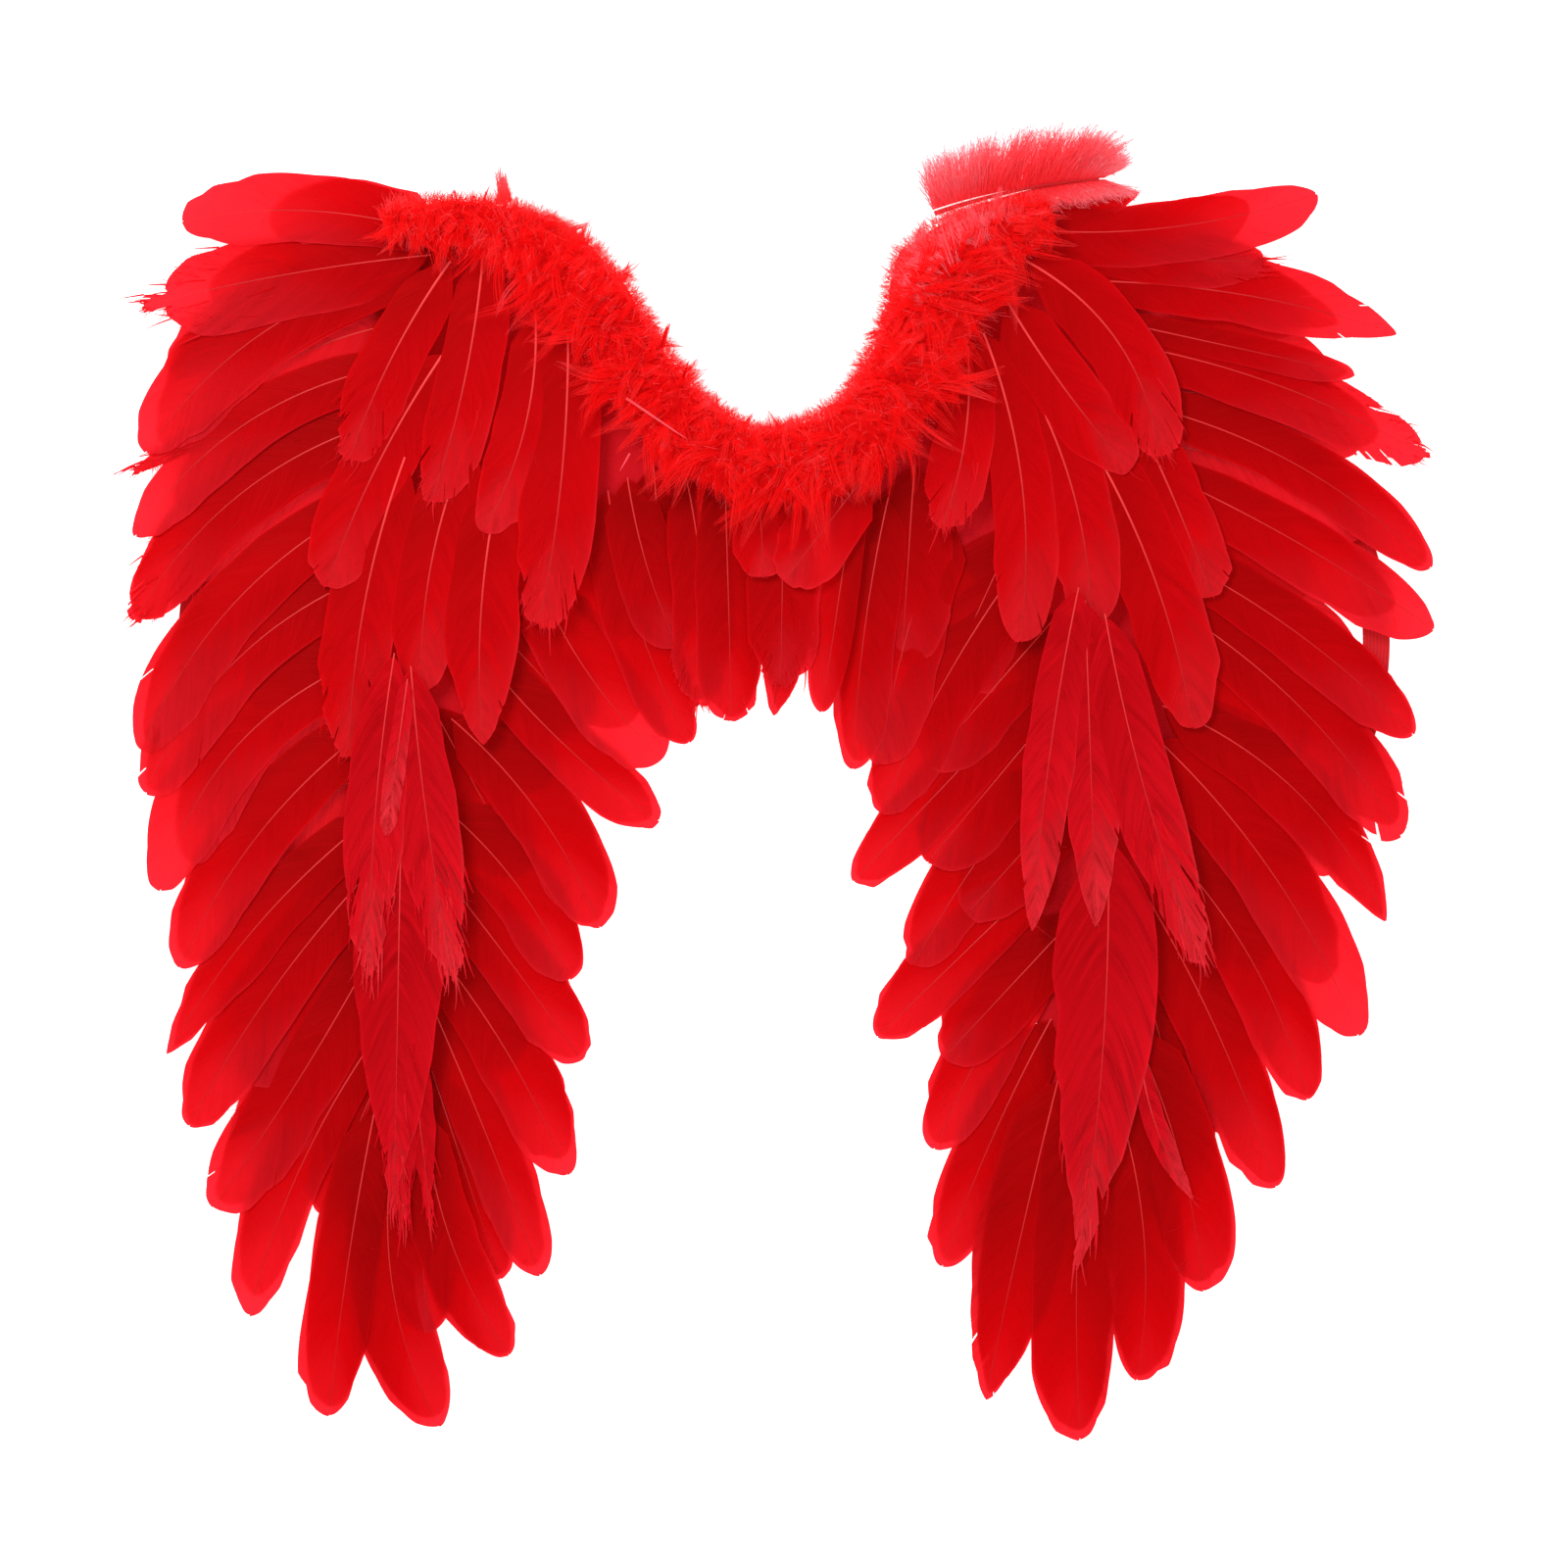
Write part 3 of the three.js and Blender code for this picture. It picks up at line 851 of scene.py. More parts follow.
def add_quill(
    bag: Strips,
    grid: Grid,
    feather: Feather,
    height: float,
    own: float,
    pale: float = 1.0,
    wide: float = 0.7 * MM,
) -> None:
    """Adds a feather's quill as a thin half round rod.

    Args:
        bag: Where it goes.
        grid: The grid.
        feather: The feather.
        height: Its height.
        own: The feather's number.
        pale: How pale its root is, as a share of the finish's palest.
        wide: Its width at the root.
    """
    share = np.linspace(0, 0.97, 22)
    place, left = quill_route(feather.quill(grid), share)
    half = (0.5 - 0.36 * share) * wide
    angle = np.radians([180, 135, 90, 45, 0])
    across = np.cos(angle)[None, :] * half[:, None]
    rise = np.sin(angle)[None, :] * half[:, None] * 0.3 + 0.02 * MM
    points = np.zeros((22, 5, 3))
    points[..., :2] = place[:, None] + left[:, None] * across[..., None]
    points[..., 2] = (height - grid.droop(place))[:, None] + rise
    tone = np.zeros((22, 5, 2))
    tone[..., 0] = (pale * (1 - share * 1.3))[:, None]
    tone[..., 1] = own
    bag.add(points, np.zeros(2), tone, finish=1)


@dataclass
class FeatherRow:
    """A row of feathers that stands for one solid.

    Args:
        node: The solid's name.
        feathers: The row's feathers, in order.
        seed: Seed of its chance.
        shingle: Millimetres that each feather lies below the one before it.
        roll: Millimetres by which the left edge of a vane stands above its quill.
        slot: The record's material slot.
        barbs: How many barbs are modelled on each side of a quill.
        fray: How worn the row is.
        pale: Percent that is added to each feather's paleness.
        quill_pale: How pale its quills' roots are.
        quill_wide: How wide its quills' roots are.
        lining: Length of the feathers under the row's own, as a share of theirs, or 0 for none.
        dye: Finish of its vanes.
    """

    node: str
    feathers: list[Feather]
    seed: int
    shingle: float = 0.12
    roll: float = 0.75
    slot: str = "feather_vane"
    barbs: int = 84
    steps: int = 6
    fray: float = 1.0
    pale: float = 0.0
    quill_pale: float = 0.6
    quill_wide: float = 0.65 * MM
    lining: float = 0.0
    dye: VaneLook = VaneLook.BODY

    def build(self, grid: Grid, dyes: dict[VaneLook, bpy.types.Material], quill: bpy.types.Material) -> None:
        """Makes the row as one piece.

        Args:
            grid: The grid.
            dyes: Finishes of vanes.
            quill: Finish of the quills.
        """
        bag = Strips()
        rng = np.random.default_rng(self.seed)
        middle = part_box(self.node)[1].z - ROW_HIGH / 2
        for number, feather in enumerate(self.feathers):
            down = (number - (len(self.feathers) - 1) / 2) * self.shingle
            height = middle + np.clip(feather.lift - down, -1.3, 1.6) * MM
            add_quill(bag, grid, feather, height, rng.random(), self.quill_pale, self.quill_wide)
            for side in (-1, 1):
                self._vane(bag, grid, feather, side, height, rng)
            if self.lining:
                self._line(bag, grid, feather, height - 0.5 * MM, rng)
        name = self.node.replace("_row", "") + "_feathers"
        attach(bag.piece(name, [dyes[self.dye], quill]), self.slot, self.node)

    def _line(
        self, bag: Strips, grid: Grid, feather: Feather, height: float, rng: np.random.Generator
    ) -> None:
        """Adds a plainer, shorter feather under another one.

        Args:
            bag: Where it goes.
            grid: The grid.
            feather: The feather above.
            height: Its height.
            rng: Seeded chance.
        """
        away = rng.normal(0, 0.3, 2)
        share = self.lining * (1 - 0.012 * max(0.0, feather.pale - 54) - 0.03 * rng.random())
        below = replace(
            feather,
            tip_x=feather.root_x + (feather.tip_x - feather.root_x) * share + away[0],
            tip_y=feather.root_y + (feather.tip_y - feather.root_y) * share + away[1],
            wide=feather.wide * rng.uniform(0.9, 0.98),
            tip=Tip.POINT if feather.tip in (Tip.POINT, Tip.SPEAR) else Tip.ROUND,
        )
        plain = replace(self, barbs=28, steps=3, fray=0.3)
        for side in (-1, 1):
            plain._vane(bag, grid, below, side, height, rng)

    def _vane(
        self,
        bag: Strips,
        grid: Grid,
        feather: Feather,
        side: int,
        height: float,
        rng: np.random.Generator,
    ) -> None:
        """Adds one side of a feather's vane, made of slanting barbs that part into locks.

        Args:
            bag: Where it goes.
            grid: The grid.
            feather: The feather.
            side: 1 for the left of the quill, and -1 for the right.
            height: Its height.
            rng: Seeded chance.
        """
        route = feather.quill(grid)
        length = float(np.linalg.norm(route[2] - route[0]))
        widest = VANE_WIDE * feather.wide / 200 * rng.uniform(0.97, 1.03) * (1 + side * feather.lean)
        shape = TIP_SHAPES[feather.tip]
        free = side * (feather.free or np.sign(self.roll))
        rank = np.linspace(0, 1, self.barbs)
        start = 0.01 + 0.985 * rank**0.92
        sweep = 1.1 + shape.slant * rank
        lock, parted = self._locks(shape, start, rng)
        least, most = np.zeros(self.barbs), np.full(self.barbs, widest)
        for _ in range(16):
            reach = (least + most) / 2
            short = widest * shape.half(start + sweep * reach / length, free) > reach
            least, most = np.where(short, reach, least), np.where(short, most, reach)
        ripple = np.interp(rank, np.linspace(0, 1, 12), rng.normal(0, 0.035, 12))
        reach = np.maximum(reach * (1 + ripple), 0.2 * MM)
        out = np.linspace(0, 1, self.steps + 1) ** 0.85
        carried = out[None, :] ** 2
        centre = np.array([start[lock == k].mean() for k in range(lock.max() + 1)])
        worn = self.fray * (0.3 + shape.fray * 6)
        near_tip = smooth((rank - 0.35) / 0.6)
        narrow = rng.uniform(0.3, 1, len(centre))[lock] * shape.gap * self.fray
        shift = rng.normal(0, 0.006, len(centre))[lock] * worn * near_tip
        long = 1 - np.abs(rng.normal(0, 0.05, len(centre)))[lock] * worn * near_tip
        long *= 1 - shape.fray * self.fray * rng.random(len(rank)) * near_tip
        along = start[:, None] + (sweep * reach / length)[:, None] * out[None, :] ** 1.35
        along = along + ((centre[lock] - start) * narrow + shift)[:, None] * carried
        aside = reach[:, None] * out[None, :] * (1 + (long - 1)[:, None] * carried)
        place, left = quill_route(route, np.clip(along, 0, 1.02))
        share_out = aside / widest
        raised = rng.normal(0, 0.13, len(centre))[lock][:, None] * carried * near_tip[:, None]
        wave = math.tau * (1.4 * along + rng.random())
        points = np.zeros((*along.shape, 3))
        points[..., :2] = place + left * (side * aside)[..., None]
        points[..., 2] = (
            height
            - grid.droop(points)
            + MM * (
                self.roll * side * share_out
                - 0.5 * share_out**1.6
                + raised
                + 0.12 * np.sin(wave) * share_out
            )
        )
        barb = np.stack(np.broadcast_arrays(start[:, None] * length / MM, out[None, :]), -1)
        # Painted shade and light: darker towards the root and on the tucked side, where other feathers
        # shade the vane, and paler on the free side and towards the tip, where a single layer lies over
        # the floor. The last line adds random tone per lock.
        shade = (feather.pale + self.pale) / 100 - 0.5 * (1 - smooth(along / 0.8))
        shade = shade + (0.17 * free + 0.03) * share_out + 0.42 * near_tip[:, None] ** 2
        shade = shade + rng.normal(0, 0.03, len(centre))[lock][:, None]
        own = np.full(along.shape, rng.random())
        keep = out[None, 1:] <= parted[:, None]
        bag.add(points, barb, np.stack([shade, own], -1), keep=keep)
        if self.steps > 3:
            self._wisps(bag, points, shade, lock, shape, rng)
        if shape.tongues:
            self._tongues(bag, points, shade, shape, rng)

    def _wisps(
        self,
        bag: Strips,
        points: Array,
        shade: Array,
        lock: Array,
        shape: TipShape,
        rng: np.random.Generator,
    ) -> None:
        """Adds loose barbs that leave a vane's edge near its tip, and a few that lie on it.

        Args:
            bag: Where they go.
            points: The vane's points, by barb and by place along the barb.
            shade: How pale they are.
            lock: Each barb's lock.
            shape: How the tip looks.
            rng: Seeded chance.
        """
        count, strays = int(round(shape.loose * self.fray)), 4
        ragged = min(shape.fray * 8, 1)
        rank = (len(points) * (1 - 0.55 * rng.random(count) ** 1.3)).astype(int) - 1
        spot = rng.integers(3, points.shape[1], count)
        rank[:strays] = rng.integers(5, len(points), strays)
        spot[:strays] = rng.integers(1, 4, strays)
        start = points[rank, spot] + np.array([0, 0, 0.12 * MM])
        way = unit_of(points[rank, spot] - points[rank, spot - 1])
        turn = rng.normal(0, 0.16, lock.max() + 1)[lock[rank]] + rng.normal(0, 0.07, count)
        aside = np.stack([-way[:, 1], way[:, 0], rng.normal(0, 0.3, count)], -1)
        way = unit_of(way + aside * turn[:, None])
        length = (0.6 + 9.0 * ragged * rng.random(count) ** 1.6) * MM
        length[:strays] = rng.uniform(2, 9, strays) * MM
        bend = 0.14 * rng.normal(size=(count, 3)) * np.array([1, 1, 0.3]) + aside * turn[:, None]
        bend[:strays] *= 3
        tone = shade[rank, spot] + 0.1
        wide = (0.24 + 0.16 * ragged) * MM
        strands(bag, start, way, length, bend, wide, (tone, tone + 0.12), rng.random(count), rng)

    @staticmethod
    def _tongues(
        bag: Strips, points: Array, shade: Array, shape: TipShape, rng: np.random.Generator
    ) -> None:
        """Adds long, thin curved locks that part from the vane and end in points.

        Args:
            bag: Where they go.
            points: The vane's points, by barb and by place along the barb.
            shade: How pale they are.
            shape: How the tip looks.
            rng: Seeded chance.
        """
        count = shape.tongues
        rank = (len(points) * rng.uniform(0.4, 0.97, count)).astype(int)
        spot = rng.integers(1, points.shape[1], count)
        start = points[rank, spot] + np.array([0, 0, 0.2 * MM])
        onward = unit_of(points[-1, 0] - points[0, 0])
        barb = unit_of(points[rank, spot] - points[rank, spot - 1])
        way = unit_of(0.5 * barb + onward)
        aside = np.stack([-way[:, 1], way[:, 0], np.zeros(count)], -1)
        bend = onward * 0.2 - 0.2 * barb + aside * rng.normal(0, 0.12, count)[:, None]
        tone = shade[rank, spot] + rng.normal(0, 0.12, count)
        length = rng.uniform(7, 18, count) * MM
        tones = (tone, tone + 0.1)
        strands(bag, start, way, length, bend, 0.9 * MM, tones, rng.random(count), rng, 8, 0.2)

    def _locks(self, shape: TipShape, start: Array, rng: np.random.Generator) -> tuple[Array, Array]:
        """Splits a side's barbs into locks, and moves the two barbs at a cut together.

        Args:
            shape: How the tip looks.
            start: Where each barb leaves the quill. It is changed.
            rng: Seeded chance.

        Returns:
            Each barb's lock, and for each pair of neighbours how far out they hold together.
        """
        spots = shape.whole + (1 - shape.whole) * rng.random(shape.locks)
        cuts = np.unique((self.barbs * spots).astype(int))
        cuts = cuts[(cuts > 6) & (cuts < self.barbs - 3)]
        lock = np.zeros(self.barbs, int)
        lock[cuts] = 1
        lock = np.cumsum(lock)
        start[cuts] = start[cuts - 1] + 0.0015
        parted = np.full(self.barbs - 1, 1.1)
        parted[cuts - 1] = rng.uniform(shape.hold, 1.0, len(cuts))
        return lock, parted


R, P, B, F, T, S, E = Tip.ROUND, Tip.POINT, Tip.BLUNT, Tip.FRAY, Tip.TUFT, Tip.SHRED, Tip.SPEAR

# Each feather: root x, root y, tip x, tip y, width in percent, bow, end, paleness in percent,
# lift in millimetres, lean, and the side that lies free. What a line leaves out is as in Feather.
UNDER_LEFT = [
    Feather(-48, 83, -76.5, 83.6, 75, 0),
    Feather(-52, 79, -86.5, 72, 83, -1),
    Feather(-57, 71, -92, 54, 83, -3),
    Feather(-60, 60, -94, 42, 88, -4),
    Feather(-61, 50, -92.5, 31, 88, -4),
    Feather(-61, 34, -93, 12, 88, -4),
    Feather(-62, 17, -89, -7, 88, -4),
    Feather(-62, 3, -85.5, -22, 88, -3),
    Feather(-62, -14, -84.5, -45, 83, -2),
    Feather(-61, -28, -80.5, -61, 79, -2),
]
OUTER_LEFT = [
    Feather(-52, 83.8, -92.2, 86.2, 88, -2.7, R, 80, 0, -0.08),
    Feather(-54, 81, -98.4, 73.2, 111, -0.9, T, 72, 0, 0.1),
    Feather(-56, 79, -97.8, 50.8, 107, -5.1, R, 58, 0, -0.13),
    Feather(-60, 64, -99.4, 38, 77, -5, R, 66, 0.2, 0.14),
    Feather(-60, 60, -100, 47.6, 30, -3, T, 44, -0.8),
    Feather(-60, 56, -99.6, 25, 98, -5.2, F, 44),
    Feather(-62, 44, -98.5, 5.2, 89, -5.0, B, 54, 0, 0.02),
    Feather(-61, 33, -97.8, -1.5, 90, -5.4, B, 50, 0, 0.04),
    Feather(-62, 20, -95.6, -16.4, 99, -6.4, R, 62, 0, -0.08),
    Feather(-63, 9, -92.6, -28.3, 94, -3.3, R, 52, 0, -0.1),
    Feather(-63, -5, -94.6, -41.6, 80, -2.5, P, 40, 0, 0.06),
    Feather(-62, -12, -91.2, -52.5, 96, -1.8, R, 52, 0, -0.04),
    Feather(-62, -24, -87.6, -65, 96, 0.8, B, 52, 0, 0.04),
    Feather(-62, -38, -82, -81.5, 81, -2.3, R, 58, 0, -0.18),
    Feather(-60, 28, -82, 13, 92, -1, R, 40, -0.6),
    Feather(-60, -14, -82, -46, 96, 0, R, 40, -0.6),
    Feather(-60, -40, -71, -66, 92, 0, R, 40, -0.6),
    Feather(-60, -22, -85, -54.5, 84, 0, P, 40, -0.6),
    Feather(-58, 78, -94.6, 63.5, 84, -3, R, 56, -0.6),
]
FAN_LEFT = [
    Feather(-62.6, -50, -69.6, -96.8, 86, -0.6, R, 40, 0.5, -0.08, -1),
    Feather(-59, -52, -52.8, -98.5, 96, -4.2, R, 44, -0.4, -0.12, 1),
    Feather(-55, -50, -42, -87.4, 84, -2.7, R, 46, 0.4, -0.14, 1),
    Feather(-57, -50, -54.5, -84, 88, 0, R, 40, -0.8),
]
INNER_LEFT = [
    Feather(-9, 46, -8, 9.5, 84, 0, B, 40),
    Feather(-15, 47, -12.9, 12, 82, 1.4, F, 42),
    Feather(-24, 47, -16.3, 21, 83, -1, R, 44),
    Feather(-27, 45, -14.5, 6.3, 88, -1.8, R, 48),
    Feather(-38, 32, -18.5, 3.8, 104, -2, R, 70),
    Feather(-46, 19.5, -19.2, -5.6, 80, -1.4, R, 56, 0.3),
    Feather(-51, 10, -28.2, -22, 98, 2.5, R, 52, 0, 0.1),
    Feather(-53, -3, -32.8, -30, 90, 2.2, R, 50, 0, 0.06),
    Feather(-53, -13, -31, -42.5, 90, 0.3, R, 52, 0, 0.1),
    Feather(-53, -26, -33.2, -60, 90, 1.5, R, 56, 0, 0),
    Feather(-54, -34, -37.4, -75.4, 78, 0.4, R, 56, 0, 0.06),
    Feather(-38, 42, -20, 24, 110, 0, R, 40, -0.6),
    Feather(-48, 28, -30, 9, 110, 0, R, 40, -0.6),
    Feather(-54, -44, -43.5, -76, 84, 0, R, 40, -0.6),
    Feather(-54, 12, -40, -14, 100, 0, R, 40, -0.6),
    Feather(-20, 49, -18, 20, 100, 0, R, 40, -0.6),
    Feather(-56, -12, -42, -44, 110, 0, R, 40, -0.6),
    Feather(-50, 28, -37, -1, 110, 0, R, 40, -0.6),
]
COVERT_LEFT = [
    Feather(-51, 80, -66.5, 49.5, 83, -1.3, F, 40, 0.0),
    Feather(-52, 66, -70, 30, 92, -1.4, B, 42, -0.4),
    Feather(-46, 81, -54, 43, 84, 1.2, F, 46, 0.5, 0.08),
    Feather(-38, 72, -46, 38.5, 79, 2.5, R, 50, 0.8),
    Feather(-33, 69, -37.5, 24, 100, 1.2, F, 46, 1.1),
    Feather(-43.5, 46, -46, 5.8, 96, -1.6, P, 46, 0.2),
    Feather(-48, 53, -55.5, 14, 83, -2.2, R, 44, -0.2),
    Feather(-58, 50, -66.5, 4, 92, -2, F, 44, -0.6),
]
SPINE_LEFT = [
    Feather(-59.5, 20, -63.4, -29.5, 80, -1, S, 44, 0.3),
    Feather(-57.5, 16, -60.8, -8, 26, 0, B, 78, 0.8),
    Feather(-57, 18, -50.3, -30, 82, -0.8, S, 44, 0.1),
    Feather(-58.5, -6, -59.6, -66, 124, 0, E, 20, -0.6),
    Feather(-58.5, -38, -58.3, -68, 58, 0, E, 22, -1.0),
    Feather(-57, -40, -54, -66, 46, 0, E, 18, -1.1),
]
CENTRE_ROW = [
    Feather(0, 46, -0.5, 15, 92, 0, F, 46, 0.5),
    Feather(1, 45, -1.6, 10.3, 70, 0, P, 34, -0.5, 0.2),
    Feather(11, 46, 5.8, 11, 52, 0, R, 40, 0.0, 0, -1),
]
CENTRE_COVERT = [
    Feather(-4, 47, -3, 31.7, 75, 0, B, 48, -0.2),
    Feather(13, 48, 0, 31, 92, 0, R, 48, 0.4),
]
UNDER_RIGHT = [
    Feather(44, 86, 68, 84, 50, 0),
    Feather(49, 76, 80.5, 71, 79, 1),
    Feather(53, 68, 84, 62.5, 83, 1.5),
    Feather(55, 60, 88, 51, 88, 3),
    Feather(56, 52, 88.5, 38, 88, 3.5),
    Feather(57, 46, 80, 29, 84, 2.5),
    Feather(58, 36, 88.5, 12.4, 88, 4),
    Feather(58, 25, 88, 3, 88, 4),
    Feather(58, 12, 84, -14, 83, 3),
    Feather(57, 1, 82, -28, 88, 3),
    Feather(56, -9, 74, -42, 88, 2),
    Feather(55, -19, 69, -54, 83, 1),
    Feather(52, -32, 58, -66, 83, 1),
]
OUTER_RIGHT = [
    Feather(36, 85, 81.6, 90.4, 82, -2.5, R, 70, 0, -0.16),
    Feather(42, 82, 73.5, 80, 67, -0.5, F, 50),
    Feather(48, 77, 94, 68.9, 94, 1.8, P, 68, 0, 0.16),
    Feather(50, 71, 87.5, 62.8, 42, 0, R, 44),
    Feather(51, 67.5, 98.9, 49.8, 84, 2.5, F, 66, 0, -0.06),
    Feather(55, 58, 99.2, 33.1, 74, 3.6, R, 50, 0, 0.04),
    Feather(57, 48, 99.6, 23.6, 87, 1.2, R, 64, 0, -0.13),
    Feather(59, 35, 96.4, 7.6, 86, 2.0, R, 50, 0, 0.02),
    Feather(58, 28, 94.6, -8, 96, 3.2, B, 52, 0, 0.02),
    Feather(58, 12, 92.3, -21.2, 94, 4.8, P, 44, 0, -0.02),
    Feather(57, 7, 88, -38.6, 103, 3.1, R, 66, 0, -0.02),
    Feather(57, -8, 80.2, -48.4, 90, 3.2, R, 50, 0, 0.03),
    Feather(56, -18, 75.4, -61.8, 90, 1.4, R, 52, 0, -0.12),
    Feather(58, 22, 80, 5, 92, 1, R, 40, -0.6),
    Feather(37, 85, 54.5, 90.6, 46, 0.4, P, 44, 0.6),
    Feather(56, 2, 73, -28, 104, 0, R, 40, -0.6),
    Feather(54, -26, 63.5, -60, 92, 0, R, 40, -0.6),
]
FAN_RIGHT = [
    Feather(53, -37, 64.2, -77.6, 103, 1.9, R, 46, 0.4, 0.06),
    Feather(50, -46, 54, -91.3, 98, 3, R, 38, 0.0, 0.06),
    Feather(46, -48, 45.3, -100.4, 110, -0.9, R, 38, 0.5, -0.08, -1),
    Feather(42, -45, 30.8, -94.4, 116, -0.3, P, 38, -0.3, 0.02, 1),
]
INNER_RIGHT = [
    Feather(41, -36, 24.3, -74, 84, -0.9, R, 50, 0, -0.04),
    Feather(43, -20, 23, -56, 90, -1, R, 50, 0, 0),
    Feather(42, -12, 14.3, -38.8, 88, 0, R, 54, 0, -0.16),
    Feather(41, 3, 19.8, -27.8, 88, -1, R, 46, 0, -0.02),
    Feather(40, 16, 10.6, -15, 80, 0, R, 54, 0, 0),
    Feather(35, 32, 15, -4.5, 96, -1.3, R, 46),
    Feather(25, 42, 14.5, 3, 100, -1, R, 46),
    Feather(16, 44, 10.6, 2.2, 76, -1, R, 44, 0, 0.14),
    Feather(36, 40, 24, 14, 130, 0, R, 40, -0.6),
    Feather(42, 12, 22, -12, 110, 0, R, 40, -0.6),
    Feather(42, 26, 22, 3, 100, 0, R, 40, -0.6),
    Feather(20, 49, 18, 18, 110, 0, R, 40, -0.6),
    Feather(45, -20, 24.5, -42, 96, 0, R, 40, -0.6),
    Feather(46, 0, 28, -20, 100, 0, R, 40, -0.6),
]
COVERT_RIGHT = [
    Feather(28, 67, 24, 39, 79, 1.7, F, 48, 0.6),
    Feather(30.5, 69, 36, 21.6, 83, 3.2, B, 46, 0.2),
    Feather(36, 64, 47, 24, 92, 2.8, R, 46, 0.0),
    Feather(47, 52, 62.5, 8.5, 100, 2.2, R, 46, -0.4),
    Feather(34, 74, 53, 48, 83, -0.8, R, 48, 0.8),
    Feather(37, 80, 57.5, 50, 92, 4.6, F, 48, 1.0),
    Feather(53, 58, 65.5, 28.5, 79, 0.5, B, 44, -0.6),
]
SPINE_RIGHT = [
    Feather(45, 30, 38, -22.6, 67, -1, P, 44, 0.4),
    Feather(46, 28, 47.7, -22, 75, 0, P, 42, 0.1),
    Feather(49, 26, 64.2, -28.4, 84, -1.4, S, 46, 0.7),
    Feather(49.5, -8, 44.6, -75.2, 150, 1.6, E, 46, -0.6),
    Feather(54.5, -42, 62.5, -63.5, 30, -1.4, P, 56, -0.9),
]

ROWS = [
    FeatherRow("under_row_left", UNDER_LEFT, 11, barbs=56, steps=5),
    FeatherRow("under_row_right", UNDER_RIGHT, 12, roll=-0.75, barbs=56, steps=5),
    FeatherRow("inner_row_left", INNER_LEFT, 13, roll=-0.75, lining=0.99),
    FeatherRow("inner_row_right", INNER_RIGHT, 14, shingle=-0.12, lining=0.99),
    FeatherRow("outer_row_left", OUTER_LEFT, 15, lining=0.99),
    FeatherRow("outer_row_right", OUTER_RIGHT, 16, roll=-0.75, lining=0.99),
    FeatherRow("centre_row", CENTRE_ROW, 17, shingle=0, lining=0.99),
    FeatherRow("tip_fan_left", FAN_LEFT, 18, shingle=0, roll=-0.1, pale=-6, lining=0.99),
    FeatherRow("tip_fan_right", FAN_RIGHT, 19, shingle=0, roll=0.1, pale=-10, lining=0.99),
    FeatherRow(
        "covert_row_left",
        COVERT_LEFT,
        20,
        shingle=0,
        roll=0.1,
        quill_pale=0.9,
        quill_wide=1.05 * MM,
        dye=VaneLook.BRIGHT,
    ),
    FeatherRow(
        "covert_row_right",
        COVERT_RIGHT,
        21,
        shingle=0,
        roll=0.1,
        quill_pale=0.9,
        quill_wide=1.05 * MM,
        dye=VaneLook.BRIGHT,
    ),
    FeatherRow("centre_coverts", CENTRE_COVERT, 22, shingle=0, roll=0.1, dye=VaneLook.BRIGHT),
    FeatherRow(
        "spine_row_left", SPINE_LEFT, 23, 0, 0.1, slot="spine_plume", fray=1.6, dye=VaneLook.DUSTY
    ),
    FeatherRow(
        "spine_row_right", SPINE_RIGHT, 24, 0, 0.1, slot="spine_plume", fray=1.6, dye=VaneLook.DUSTY
    ),
]


# Fluffy trim


@dataclass(frozen=True)
class TrimPoint:
    """A point of the trim's route.

    Args:
        x: Place across, in grid units.
        y: Place up, in grid units.
        half: Half width, in percent of TRIM_REACH.
        skirt: How far the skirt hangs here.
    """

    x: float
    y: float
    half: float
    skirt: float


TRIM_ROUTE = [
    TrimPoint(-61, 86, 32, 0),
    TrimPoint(-52, 86, 53, 0),
    TrimPoint(-44, 84.5, 63, 1),
    TrimPoint(-35.5, 80.2, 79, 1),
    TrimPoint(-27.8, 72.2, 77, 1),
    TrimPoint(-21.5, 62, 76, 1),
    TrimPoint(-14, 53.5, 75, 1),
    TrimPoint(-5, 49, 74, 1),
    TrimPoint(4, 49.5, 84, 1),
    TrimPoint(13.5, 55, 80, 1),
    TrimPoint(21, 68, 86, 0.9),
    TrimPoint(24.5, 76.5, 107, 0.1),
    TrimPoint(31, 83, 78, 0),
    TrimPoint(41, 87, 37, 0),
]


